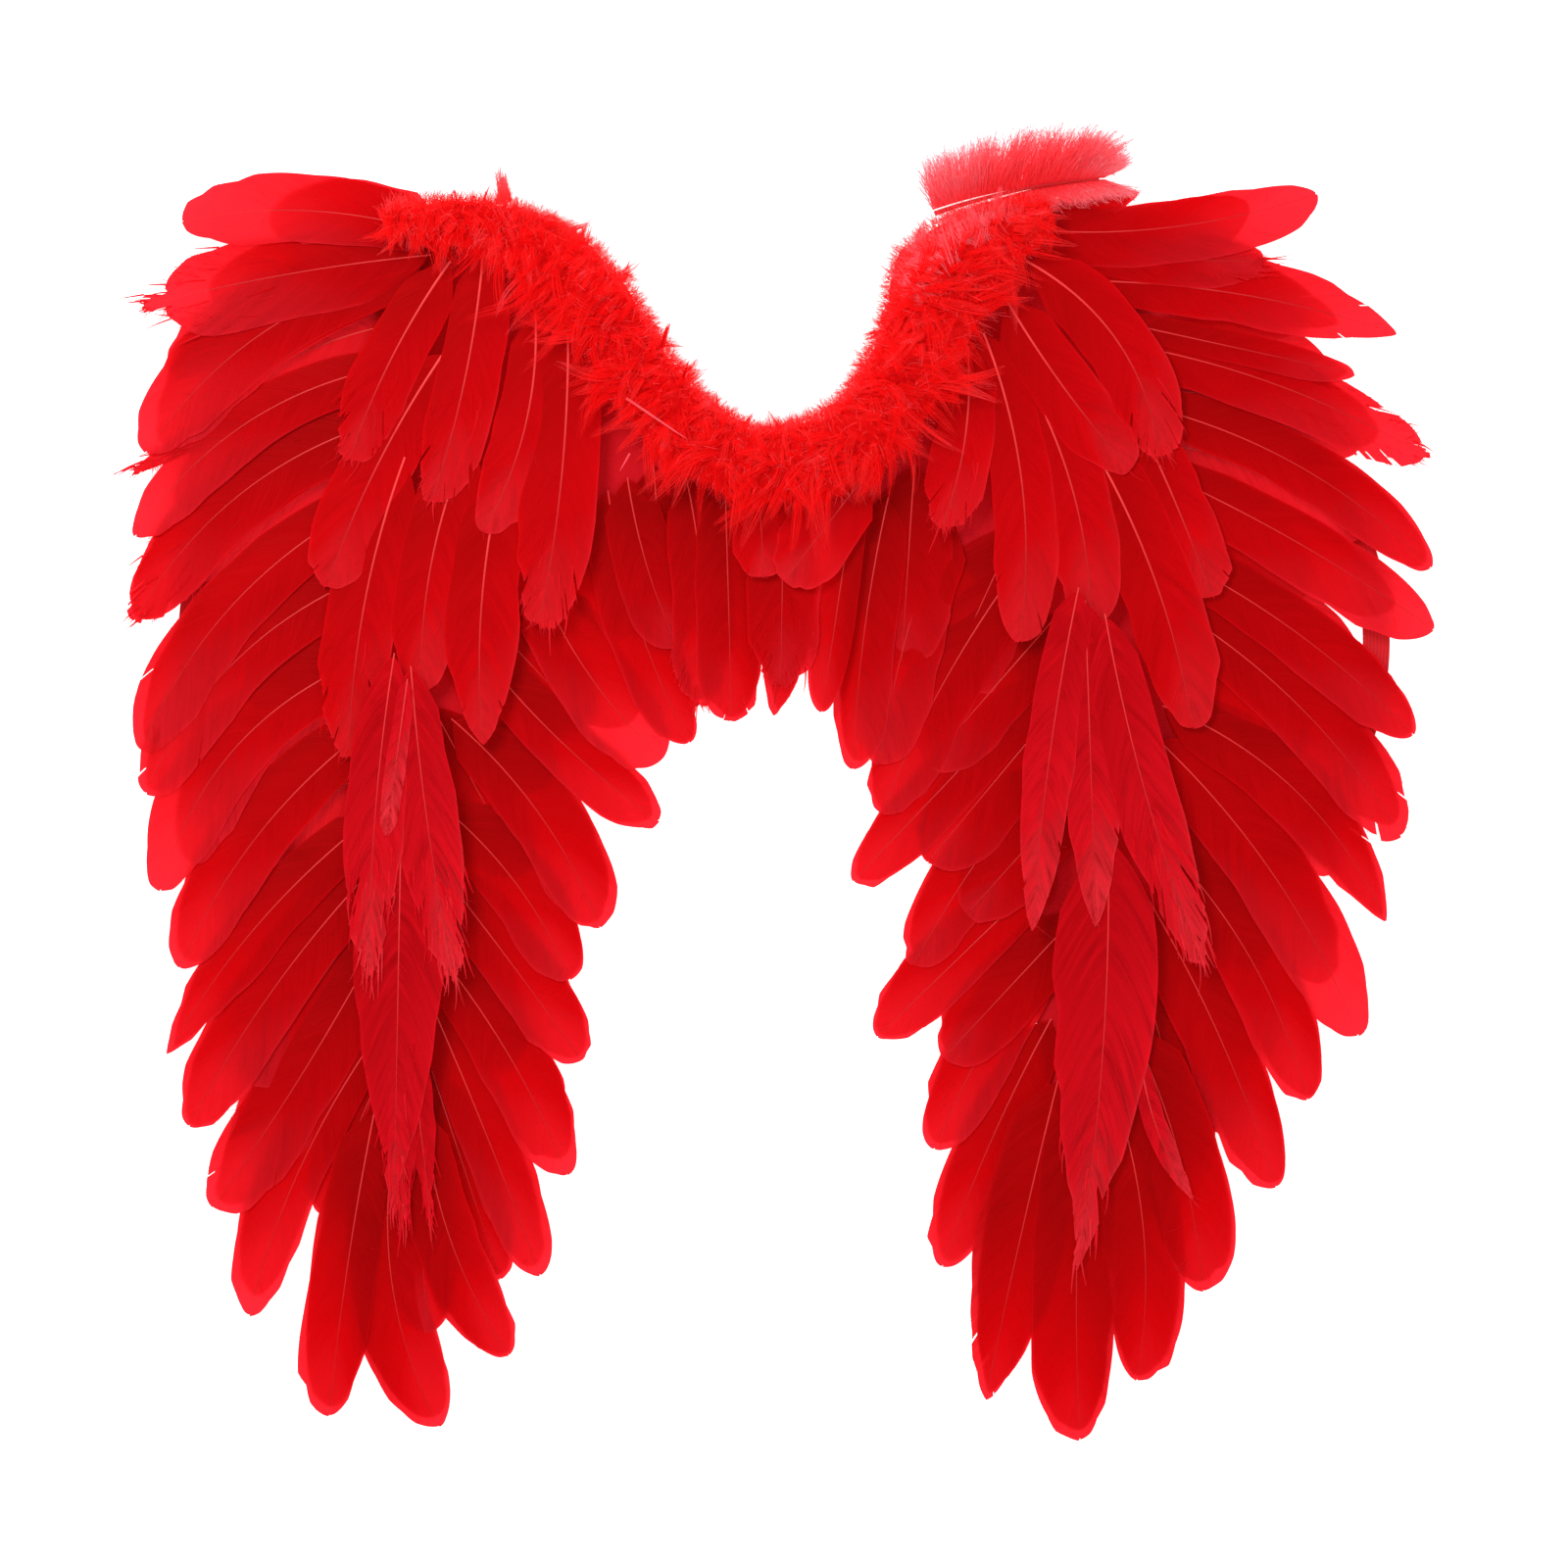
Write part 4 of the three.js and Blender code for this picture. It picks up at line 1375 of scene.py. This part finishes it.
class TrimRoute:
    """The trim's smooth route, measured along its length."""

    SAMPLES = 1400

    def __init__(self, grid: Grid, table: list[TrimPoint]) -> None:
        """Measures the route.

        Args:
            grid: The grid.
            table: Its points.
        """
        points = grid.at([p.x for p in table], [p.y for p in table])
        spot = np.linspace(0, len(table) - 1, self.SAMPLES)
        cell = np.minimum(spot.astype(int), len(table) - 2)
        t = (spot - cell)[:, None]
        before, after = points[np.maximum(cell - 1, 0)], points[np.minimum(cell + 2, len(table) - 1)]
        near, far = points[cell], points[cell + 1]
        leave, arrive = (far - before) / 2, (after - near) / 2
        place = (
            (2 * near - 2 * far + leave + arrive) * t**3
            + (-3 * near + 3 * far - 2 * leave - arrive) * t**2
            + leave * t
            + near
        )
        run = np.concatenate([[0], np.cumsum(np.linalg.norm(np.diff(place, axis=0), axis=1))])
        self.length = float(run[-1])
        self._share = run / run[-1]
        self._place = place
        self._half = np.interp(spot, range(len(table)), [p.half for p in table]) / 100 * TRIM_REACH
        self._skirt = np.interp(spot, range(len(table)), [p.skirt for p in table])

    def at(self, share: Array) -> tuple[Array, Array, Array, Array, Array]:
        """Reads the route.

        Args:
            share: Shares of its length.

        Returns:
            Place, way along, way to the left, half width and skirt.
        """
        def read(values: Array, where: Array) -> Array:
            """Reads one column between its samples."""
            return np.interp(where, self._share, values)

        place = np.stack([read(self._place[:, i], share) for i in (0, 1)], -1)
        step = 0.004
        ahead, back = np.clip(share + step, 0, 1), np.clip(share - step, 0, 1)
        along = unit_of(
            np.stack([read(self._place[:, i], ahead) - read(self._place[:, i], back) for i in (0, 1)], -1)
        )
        left = np.stack([-along[..., 1], along[..., 0]], -1)
        return place, along, left, read(self._half, share), read(self._skirt, share)


@dataclass
class MarabouTrim:
    """A stretch of the fluffy trim: a soft core, tufts of long barbs, and short single hairs.

    Args:
        node: The solid's name.
        first: Share of the route at which it starts.
        last: Share of the route at which it ends.
        seed: Seed of its chance.
        tufts: How many tufts it has.
        grid: The grid.
        barbs: How many barbs each tuft has.
        wisps: How many curved wisps lie on the tufts.
        hairs: How many single hairs it has.
        pale_spots: Places where the down is paler: x, y, reach, and how much.
        spikes: Wisps that stand out of the outline: start x and y, end x and y, width in
            millimetres, and how pale they are.
    """

    node: str
    first: float
    last: float
    seed: int
    tufts: int
    grid: Grid
    barbs: int = 120
    wisps: int = 260
    hairs: int = 4500
    pale_spots: tuple[tuple[float, float, float, float], ...] = ()
    spikes: tuple[tuple[float, float, float, float, float, float], ...] = ()

    def build(self, route: TrimRoute, fluff: bpy.types.Material) -> None:
        """Makes the stretch as one piece.

        Args:
            route: The trim's route.
            fluff: Its finish.
        """
        bag = Strips()
        rng = np.random.default_rng(self.seed)
        self._core(bag, route, rng)
        self._tufts(bag, route, rng)
        self._wisps(bag, route, rng)
        self._hairs(bag, route, rng)
        self._spikes(bag, rng)
        attach(bag.piece(self.node.replace("trim", "fluff"), [fluff]), "marabou", self.node)

    @staticmethod
    def _surface(route: TrimRoute, share: Array, across: Array, inset: float) -> tuple[Array, Array]:
        """Finds places on the trim's rounded top and sides.

        Args:
            route: The route.
            share: Shares along the route.
            across: From -1 on the feathers' side to 1 on the open side.
            inset: How far inside the outline they lie.

        Returns:
            Places, and unit vectors out of the surface.
        """
        place, _, left, half, skirt = route.at(share)
        half = half - inset
        high = TRIM_HIGH * np.sqrt(half / TRIM_REACH) - 0.6 * inset
        turn = across * math.radians(80)
        side = np.sin(turn) / math.sin(math.radians(80)) * half
        rise = TRIM_FLOOR + high * np.cos(turn)
        hang = np.clip((np.abs(across) - 0.75) / 0.25, 0, 1) * (across > 0) * skirt
        rise = rise - hang * (rise - SKIRT_FLOOR) * 0.8
        points = np.concatenate([place + left * side[..., None], rise[..., None]], -1)
        outward = np.concatenate([left * np.sin(turn)[..., None], np.cos(turn)[..., None]], -1)
        return points, unit_of(outward)

    def _core(self, bag: Strips, route: TrimRoute, rng: np.random.Generator) -> None:
        """Adds the lumpy core that shows between the plumes, toned dark as painted shade in the depths of
        the down.

        Args:
            bag: Where it goes.
            route: The route.
            rng: Seeded chance.
        """
        rows = int(160 * (self.last - self.first) / 0.4)
        share = np.linspace(self.first, self.last, rows)[:, None]
        across = np.linspace(-1.05, 1, 26)[None, :]
        share, across = np.broadcast_arrays(share, across)
        lumps = (
            np.sin(share * route.length / (7 * MM) + 3 * across)
            * np.sin(across * 7 + share * route.length / (11 * MM))
        )
        points, outward = self._surface(route, share, across, 6.0 * MM)
        points = points + outward * (lumps * 1.0 * MM + rng.normal(0, 0.3 * MM, lumps.shape))[..., None]
        # The core's low tone is painted shade in the depths of the down.
        bag.add(points, np.zeros(2), np.array([0.2, 0.5]))

    def _tufts(self, bag: Strips, route: TrimRoute, rng: np.random.Generator) -> None:
        """Adds tufts of long soft barbs, which fan out from the middle and gather into wisps.

        Args:
            bag: Where they go.
            route: The route.
            rng: Seeded chance.
        """
        count, each, wisps = self.tufts, self.barbs, self.barbs // 12
        share = self.first + (self.last - self.first) * (np.arange(count) + rng.random(count)) / count
        side = np.where(rng.random(count) < 0.5, 1.0, -1.0)
        across = np.clip(side * rng.uniform(-0.25, 0.75, count), -0.7, 0.85)
        knots = np.linspace(self.first, self.last, count // 8)
        turn = np.interp(share, knots, rng.normal(0, 0.6, len(knots))) + rng.normal(0, 0.22, count)
        big = rng.uniform(0.55, 1.1, count)
        base = 0.34 + rng.normal(0, 0.07, count) + 0.06 * side

        tuft = np.repeat(np.arange(count), each)
        wisp = tuft * wisps + rng.integers(0, wisps, len(tuft))
        swing = turn[tuft] + rng.normal(0, 0.38, count * wisps)[wisp] + rng.normal(0, 0.07, len(tuft))
        own_share = np.clip(share[tuft] + rng.normal(0, 2.6 * MM / route.length, len(tuft)), 0.004, 0.996)
        own_across = np.clip(across[tuft] + rng.normal(0, 0.09, len(tuft)), -0.9, 0.9)
        root, _ = self._surface(route, own_share, own_across, 6.5 * MM)
        _, along, left, half, skirt = route.at(own_share)
        hand = side[tuft]
        edge = np.sin(own_across * math.radians(80)) / math.sin(math.radians(80))
        beyond = np.where(hand > 0, -1.0, 1.0) * MM + rng.normal(0, 1.8 * MM, count)[tuft]
        beyond = beyond + rng.normal(0, 1.2 * MM, count * wisps)[wisp]
        room = (half * (1 - hand * edge) + beyond) * big[tuft]
        lengths = np.maximum(room, 5 * MM) * rng.uniform(0.72, 1.0, len(tuft))
        lengths *= np.clip(half / (20 * MM), 0.55, 1)
        flat = (left * hand[:, None]) * np.cos(swing)[:, None] + along * np.sin(swing)[:, None]
        rise = 0.30 + rng.normal(0, 0.16, count * wisps)[wisp]
        way = unit_of(np.concatenate([flat, rise[:, None]], -1))
        curl = rng.normal(0, 0.2, count * wisps)[wisp] + rng.normal(0, 0.05, len(tuft))
        bend = np.concatenate([along * curl[:, None], np.zeros((len(tuft), 1))], -1)
        low = TRIM_FLOOR + rng.uniform(1.5, 7, count * wisps)[wisp] * MM
        low = np.where(hand > 0, low - skirt * rng.uniform(0, 1, count * wisps)[wisp] * 14 * MM, low)
        bend[:, 2] = np.clip((low - root[:, 2]) / lengths - way[:, 2], -1.6, 0.1)
        ends = root[:, :2] + flat * lengths[:, None]
        shade = base[tuft] + rng.normal(0, 0.05, count * wisps)[wisp]
        for x, y, reach, more in self.pale_spots:
            near = np.linalg.norm(ends - self.grid.at(x, y), axis=1) / (reach * self.grid.unit)
            shade = shade + more * np.clip(1.4 - near, 0, 1)
        # Each barb runs from darker at its root to paler at its end: painted shade low in the down and
        # painted light at the free ends.
        tone = (shade - 0.10 + rng.normal(0, 0.02, len(tuft)), shade + 0.16)
        strands(
            bag, root, way, lengths, bend, 0.34 * MM, tone, rng.random(count * wisps)[wisp], rng, 3, 0.45
        )

    def _wisps(self, bag: Strips, route: TrimRoute, rng: np.random.Generator) -> None:
        """Adds pointed, curved wisps on the tufts. Most of them reach out over the feathers.

        Args:
            bag: Where they go.
            route: The route.
            rng: Seeded chance.
        """
        count, each = self.wisps, 18
        share = rng.uniform(self.first, self.last, count)
        side = np.where(rng.random(count) < 0.66, -1.0, 1.0)
        across = side * rng.uniform(-0.35, 0.8, count)
        root, _ = self._surface(route, share, across, 4.0 * MM)
        _, along, left, half, skirt = route.at(share)
        knots = np.linspace(self.first, self.last, count // 16)
        turn = np.interp(share, knots, rng.normal(0, 0.8, len(knots))) + rng.normal(0, 0.35, count)
        flat = (left * side[:, None]) * np.cos(turn)[:, None] + along * np.sin(turn)[:, None]
        cross = np.stack([-flat[:, 1], flat[:, 0]], -1)
        fit = np.clip(half / (22 * MM), 0.55, 1)
        length = np.where(side < 0, rng.uniform(9, 30, count), rng.uniform(6, 14, count)) * MM * fit
        rise = rng.uniform(0.05, 0.4, count)
        lift = rng.uniform(0.5, 5, count) * MM
        low = TRIM_FLOOR + lift - (side > 0) * skirt * rng.uniform(0, 12, count) * MM
        reach = np.abs(np.sin(across * math.radians(80))) * half + length > half + 2 * MM
        low = np.where(reach, low, root[:, 2] - 1.0 * MM)
        curl = rng.normal(0, 0.35, count)
        base = rng.normal(0.42, 0.1, count)

        k = np.repeat(np.arange(count), each)
        spread = rng.uniform(-1, 1, len(k))[:, None]
        spot = np.zeros((len(k), 3))
        spot[:, :2] = cross[k] * spread * 1.3 * MM
        spot += rng.normal(0, 0.35 * MM, spot.shape)
        way = np.concatenate([flat[k] + cross[k] * spread * 0.22, rise[k][:, None]], -1)
        size = length[k] * rng.uniform(0.7, 1.02, len(k))
        bend = np.zeros((len(k), 3))
        bend[:, :2] = cross[k] * (curl[k][:, None] - spread * (0.2 + 1.0 * MM / size[:, None]))
        bend[:, 2] = np.clip((low[k] - root[k, 2]) / size - way[:, 2], -1.6, 0.2)
        shade = base[k]
        for x, y, near_by, more in self.pale_spots:
            near = np.linalg.norm(root[k, :2] - self.grid.at(x, y), axis=1) / (near_by * self.grid.unit)
            shade = shade + more * np.clip(1.4 - near, 0, 1)
        # Each wisp runs from darker at its root to paler at its end: painted shade low in the down and
        # painted light at the free ends.
        tone = (shade - 0.12, shade + 0.2)
        strands(bag, root[k] + spot, way, size, bend, 0.28 * MM, tone, rng.random(count)[k], rng, 4, 0.35)

    def _spikes(self, bag: Strips, rng: np.random.Generator) -> None:
        """Adds the single wisps that stand out.

        Args:
            bag: Where they go.
            rng: Seeded chance.
        """
        for x, y, end_x, end_y, wide, pale in self.spikes:
            count = int(3 + 22 * wide)
            root, end = self.grid.at(x, y), self.grid.at(end_x, end_y)
            length = float(np.linalg.norm(end - root))
            way = (end - root) / length
            cross = np.array([-way[1], way[0]])
            spread = rng.uniform(-0.5, 0.5, count)[:, None] * wide * MM
            start = np.full((count, 3), 29.0 * MM)
            start[:, :2] = root + cross * spread + way * rng.normal(0, 0.1 * wide * MM, (count, 1))
            ways = np.zeros((count, 3))
            ways[:, :2] = way + rng.normal(0, 0.025 * (wide - 0.7), (count, 2))
            bends = np.zeros((count, 3))
            bends[:, :2] = -cross * spread / length * 0.9
            sizes = length * rng.uniform(0.6, 1.0, count)
            tone = rng.normal(pale, 0.06, count)
            strands(bag, start, ways, sizes, bends, 0.34 * MM, (tone, tone + 0.3), tone, rng, 3, 0.5)

    def _hairs(self, bag: Strips, route: TrimRoute, rng: np.random.Generator) -> None:
        """Adds single fine hairs all over, most of them on the open side, which soften the outline.

        Args:
            bag: Where they go.
            route: The route.
            rng: Seeded chance.
        """
        count = self.hairs
        share = rng.uniform(self.first, self.last, count)
        fringe = rng.random(count) < 0.55
        across = np.where(fringe, rng.uniform(0.55, 1, count), rng.uniform(-1, 1, count))
        root, outward = self._surface(route, share, across, 5.0 * MM)
        way = unit_of(outward + 0.45 * rng.normal(size=(count, 3)))
        lengths = rng.uniform(3.4, 8.2, count) * MM
        bends = np.array([0, 0, -0.3]) + 0.25 * rng.normal(size=(count, 3))
        base = rng.normal(0.5, 0.1, count)
        # Each hair runs from darker at its root to paler at its end: painted shade low in the down and
        # painted light at the free ends.
        tone = (base, base + 0.3)
        strands(bag, root, way, lengths, bends, 0.26 * MM, tone, rng.random(count), rng, steps=3)


@dataclass
class MarabouPlume:
    """The loose plume at the top of the right wing: a dark quill with long soft barbs.

    Args:
        node: The solid's name.
        seed: Seed of its chance.
        barbs: How many barbs it has.
        clumps: How many wisps they gather into.
    """

    node: str = "marabou_plume"
    seed: int = 41
    barbs: int = 8000
    clumps: int = 150

    def build(self, grid: Grid, fluff: bpy.types.Material, quill: bpy.types.Material) -> None:
        """Makes the plume as one piece.

        Args:
            grid: The grid.
            fluff: Finish of the barbs.
            quill: Finish of the quill.
        """
        bag = Strips()
        rng = np.random.default_rng(self.seed)
        feather = Feather(23, 87.2, 49, 92.6, 60, 0.9)
        route = feather.quill(grid)
        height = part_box(self.node)[1].z - ROW_HIGH / 2
        add_quill(bag, grid, feather, height + 0.9 * MM, 0.4, -0.1, 2.4 * MM)
        clump_share = rng.random(self.clumps)
        clump_side = np.where(rng.random(self.clumps) < 0.66, 1.0, -1.0)
        clump = rng.integers(0, self.clumps, self.barbs)
        share = np.clip(clump_share[clump] + rng.normal(0, 0.025, self.barbs), 0, 1)
        side = clump_side[clump]
        profile = (0, 0.12, 0.4, 0.65, 0.85, 1)
        reach = np.where(
            side > 0,
            np.interp(share, profile, (8.2, 8.8, 9.8, 9.8, 7.6, 3.2)),
            np.interp(share, profile, (1.5, 3.0, 4.4, 4.2, 4.0, 4.4)),
        ) * grid.unit
        lean = np.where(
            side > 0,
            np.interp(share, profile, (-0.25, 0.0, 0.35, 0.55, 0.85, 1.5)),
            np.interp(share, profile, (0.3, 0.4, 0.6, 0.8, 1.1, 1.8)),
        )
        lean = lean + rng.normal(0, 0.22, self.clumps)[clump] + rng.normal(0, 0.08, self.barbs)
        place, left = quill_route(route, share)
        ahead = np.stack([left[:, 1], -left[:, 0]], -1)
        way = np.zeros((self.barbs, 3))
        way[:, :2] = left * side[:, None] + ahead * lean[:, None]
        way[:, 2] = rng.normal(0.02, 0.08, self.barbs)
        way = unit_of(way)
        clear = np.where(side > 0, 1.9, 2.9) - np.where(side > 0, 1.5, 2.5) * smooth(share / 0.75)
        clear = clear * MM
        place = place + left * (side * clear)[:, None]
        starts = np.concatenate([place, np.full((self.barbs, 1), height)], -1)
        lengths = reach * np.sqrt(1 + 0.5 * lean**2) * rng.uniform(0.82, 1.06, self.clumps)[clump]
        lengths *= 1 - 0.62 * rng.random(self.barbs) ** 1.4
        bends = 0.1 * rng.normal(size=(self.barbs, 3))
        bends[:, :2] += ahead * rng.normal(0.05, 0.12, self.clumps)[clump][:, None]
        bends[:, 2] = np.abs(bends[:, 2]) * 0.3 - 0.05
        inner = np.interp(share, (0, 0.25, 0.4, 0.7, 0.85, 1), (0.12, 0.06, -0.16, -0.16, 0, 0.16))
        base = rng.normal(0.26, 0.08, self.barbs) + inner
        own = rng.random(self.barbs)
        strands(bag, starts, way, lengths, bends, 0.3 * MM, (base, base + 0.64), own, rng, 4, 0.6)
        far = rng.uniform(0.25, 1, self.barbs)[:, None]
        spots = starts + (way * far + bends * far**2) * lengths[:, None]
        turned = unit_of(way + rng.normal(size=way.shape) * np.array([0.9, 0.9, 0.2]))
        sizes = rng.uniform(0.8, 3.4, self.barbs) * MM
        shade = base + 0.64 * far[:, 0]
        strands(bag, spots, turned, sizes, bends, 0.2 * MM, (shade, shade + 0.2), own, rng, 2, 0.4)
        attach(bag.piece("marabou_loose_plume", [fluff, quill]), "marabou", self.node)


# Elastic loops and panel


@dataclass
class ElasticStrap:
    """One elastic arm loop: a flat band that follows half an oval on the floor.

    Args:
        node: The solid's name.
        side: 1 for the right, and -1 for the left.
    """

    node: str
    side: int
    steps: int = 90

    def build(self, grid: Grid, elastic: bpy.types.Material) -> None:
        """Makes the loop as one piece.

        Args:
            grid: The grid.
            elastic: Its finish.
        """
        centre = grid.at(*STRAP_CENTRE) if self.side > 0 else grid.at(-STRAP_CENTRE[0], STRAP_CENTRE[1])
        angle = np.linspace(-math.pi / 2, math.pi / 2, self.steps)
        arc = centre + np.stack(
            [self.side * STRAP_REACH * np.cos(angle), STRAP_RISE * np.sin(angle)], -1
        )
        tail = np.linspace(1, 0, 8, endpoint=False)[:, None] * np.array([-self.side * STRAP_TAIL, 0])
        line = np.concatenate([arc[0] + tail, arc, (arc[-1] + tail)[::-1]])
        along = unit_of(np.gradient(line, axis=0))
        left = np.stack([-along[:, 1], along[:, 0]], -1)
        run = np.concatenate([[0], np.cumsum(np.linalg.norm(np.diff(line, axis=0), axis=1))])
        ring = np.linspace(0, math.tau, 29)
        across = np.cos(ring)
        flat = np.sign(across) * np.abs(across) ** 0.35
        rise = np.sign(np.sin(ring)) * np.abs(np.sin(ring)) ** 0.35
        ribs = 1 - 0.05 * (np.cos(across * math.pi * 7) + 1)
        points = np.zeros((len(line), len(ring), 3))
        points[..., :2] = line[:, None] + left[:, None] * (flat * STRAP_WIDE / 2)[None, :, None]
        points[..., 2] = (1 + rise * ribs)[None, :] * STRAP_THICK / 2
        barb = np.zeros((len(line), len(ring), 2))
        barb[..., 0] = run[:, None] / MM
        barb[..., 1] = (flat / 2 + 0.5)[None, :]
        bag = Strips()
        bag.add(points, barb, np.array([0.5, 0.5]))
        attach(bag.piece(self.node.replace("strap", "loop"), [elastic]), "elastic", self.node)


@dataclass
class BackPanel:
    """The felt panel that the rows are sewn to: the solid's outline with softened edges."""

    node: str = "back_panel"
    round_edge: float = 0.9 * MM

    def build(self, felt: bpy.types.Material) -> None:
        """Makes the panel as one piece.

        Args:
            felt: Its finish.
        """
        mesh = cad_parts[self.node].data.copy()
        mesh.name = "felt_panel"
        mesh.materials.clear()
        mesh.materials.append(felt)
        piece = bpy.data.objects.new("felt_panel", mesh)
        bpy.context.scene.collection.objects.link(piece)
        weld = piece.modifiers.new("weld", "WELD")
        weld.merge_threshold = 0.01 * MM
        soft = piece.modifiers.new("soft", "BEVEL")
        soft.width = self.round_edge
        soft.segments = 3
        soft.limit_method = "ANGLE"
        graph = bpy.context.evaluated_depsgraph_get()
        made = bpy.data.meshes.new_from_object(piece.evaluated_get(graph))
        piece.modifiers.clear()
        piece.data = made
        attach(piece, "panel_cloth", self.node)


# Studio


@dataclass
class Studio:
    """Camera, lights and floor.

    Args:
        view_wide: Width that the camera sees at the wings' height, in grid units.
        distance: Camera's height above the wings.
        height: The level of the wings that the camera frames.
        sensor: Width of the camera's sensor, in millimetres.
        sky: Strength of the even light from all round.
        key: Power of the main lamp, in watts.
        lamp_wide: Width of the main lamp.
        lamp_at: Place of the main lamp, which points at the wings.
        floor_reach: How far the floor goes to each side.
    """

    view_wide: float = 240.0
    distance: float = 3.0
    height: float = 12 * MM
    sensor: float = 36.0
    sky: float = 0.95
    key: float = 26.0
    lamp_wide: float = 0.9
    lamp_at: tuple[float, float, float] = (-0.9, 1.1, 1.7)
    floor_reach: float = 4.0

    def aim(self, grid: Grid) -> None:
        """Makes the camera, straight above the picture's middle.

        Args:
            grid: The grid.
        """
        lens = bpy.data.cameras.new("photo_camera")
        lens.sensor_width = self.sensor
        lens.lens = self.sensor * self.distance / (self.view_wide * grid.unit)
        camera = bpy.data.objects.new("photo_camera", lens)
        camera.location = (*grid.middle, self.height + self.distance)
        bpy.context.scene.collection.objects.link(camera)
        bpy.context.scene.camera = camera

    def light(self) -> None:
        """Makes an even white sky and one large soft lamp."""
        scene = bpy.context.scene
        world = bpy.data.worlds.new("studio_sky")
        world.use_nodes = True
        sky = world.node_tree.nodes["Background"]
        sky.inputs["Color"].default_value = (1.0, 1.0, 1.0, 1.0)
        sky.inputs["Strength"].default_value = self.sky
        scene.world = world
        scene.view_settings.view_transform = "Standard"
        lamp = bpy.data.lights.new("soft_key", "AREA")
        lamp.shape = "DISK"
        lamp.size = self.lamp_wide
        lamp.energy = self.key
        key = bpy.data.objects.new("soft_key", lamp)
        key.location = self.lamp_at
        key.rotation_euler = key.location.to_track_quat("Z", "Y").to_euler()
        scene.collection.objects.link(key)

    def floor(self, paper: bpy.types.Material) -> None:
        """Makes the floor under the straps.

        Args:
            paper: Its finish.
        """
        mesh = bpy.data.meshes.new("studio_floor")
        far = self.floor_reach
        corners = [(-far, -far, 0), (far, -far, 0), (far, far, 0), (-far, far, 0)]
        mesh.from_pydata(corners, [], [(0, 1, 2, 3)])
        mesh.materials.append(paper)
        ground = bpy.data.objects.new("studio_floor", mesh)
        bpy.context.scene.collection.objects.link(ground)
        ground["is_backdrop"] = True


def main() -> None:
    """Builds the wings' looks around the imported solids."""
    logging.basicConfig(level=logging.INFO, format="%(message)s")
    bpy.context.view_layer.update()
    grid = Grid.from_frame()
    studio = Studio()
    studio.aim(grid)

    # A paler copy of the body vane, used on the raised covert rows.
    bright = VaneFinish(
        name="vane_bright",
        deep=(0.44, 0.0, 0.001),
        middle=(0.74, 0.001, 0.004),
        pale=(0.98, 0.020, 0.032),
        through=(0.80, 0.018, 0.030),
    )
    dusty = VaneFinish(
        name="vane_dusty",
        deep=(0.50, 0.001, 0.005),
        middle=(0.78, 0.005, 0.014),
        pale=(0.98, 0.04, 0.06),
        through=(0.80, 0.014, 0.026),
        streak=0.5,
        grain=0.62,
        band=0.6,
    )
    dyes = {
        VaneLook.BODY: VaneFinish().build(),
        VaneLook.BRIGHT: bright.build(),
        VaneLook.DUSTY: dusty.build(),
    }
    quill = QuillFinish().build()
    fluff = FluffFinish().build()
    pink = FluffFinish(
        name="marabou_pink",
        deep=(0.90, 0.02, 0.03),
        middle=(1.0, 0.05, 0.065),
        warm=(1.0, 0.14, 0.18),
        pale=(1.0, 0.42, 0.48),
        through=(1.0, 0.10, 0.13),
    ).build()
    elastic = ElasticFinish().build()

    ElasticStrap("elastic_strap_left", -1).build(grid, elastic)
    ElasticStrap("elastic_strap_right", 1).build(grid, elastic)
    BackPanel().build(FeltFinish().build())
    for row in ROWS:
        row.build(grid, dyes, quill)
    route = TrimRoute(grid, TRIM_ROUTE)
    first, second = TRIM_CUTS
    left_spots = ((-30, 84, 5, 0.12), (-43, 91, 3, 0.3))
    right_spots = ((16, 79.5, 4, 0.8), (20.5, 85, 4, 0.8), (26, 87.5, 4.5, 0.6), (32, 89, 5, 0.4))
    for trim in (
        MarabouTrim(
            "marabou_trim_left",
            0.0,
            first,
            31,
            150,
            grid,
            pale_spots=left_spots,
            spikes=(
                (-42.4, 88.5, -43.4, 94.2, 6.0, 0.62),
                (-18.6, 66.5, -17.3, 70.6, 2.0, 0.1),
                (-15.4, 61.8, -14.4, 64.6, 1.2, 0.0),
                (-24.0, 58.7, -14.5, 52.3, 0.8, 0.9),
                (-23.5, 50.3, -25.0, 47.6, 0.8, 0.9),
            ),
        ),
        MarabouTrim("marabou_trim_centre", first, second, 32, 80, grid, wisps=130, hairs=2400),
        MarabouTrim("marabou_trim_right", second, 1.0, 33, 140, grid, pale_spots=right_spots),
    ):
        trim.build(route, fluff)
    MarabouPlume().build(grid, pink, quill)

    studio.light()
    studio.floor(FloorFinish().build())


if __name__ == "__main__":
    main()
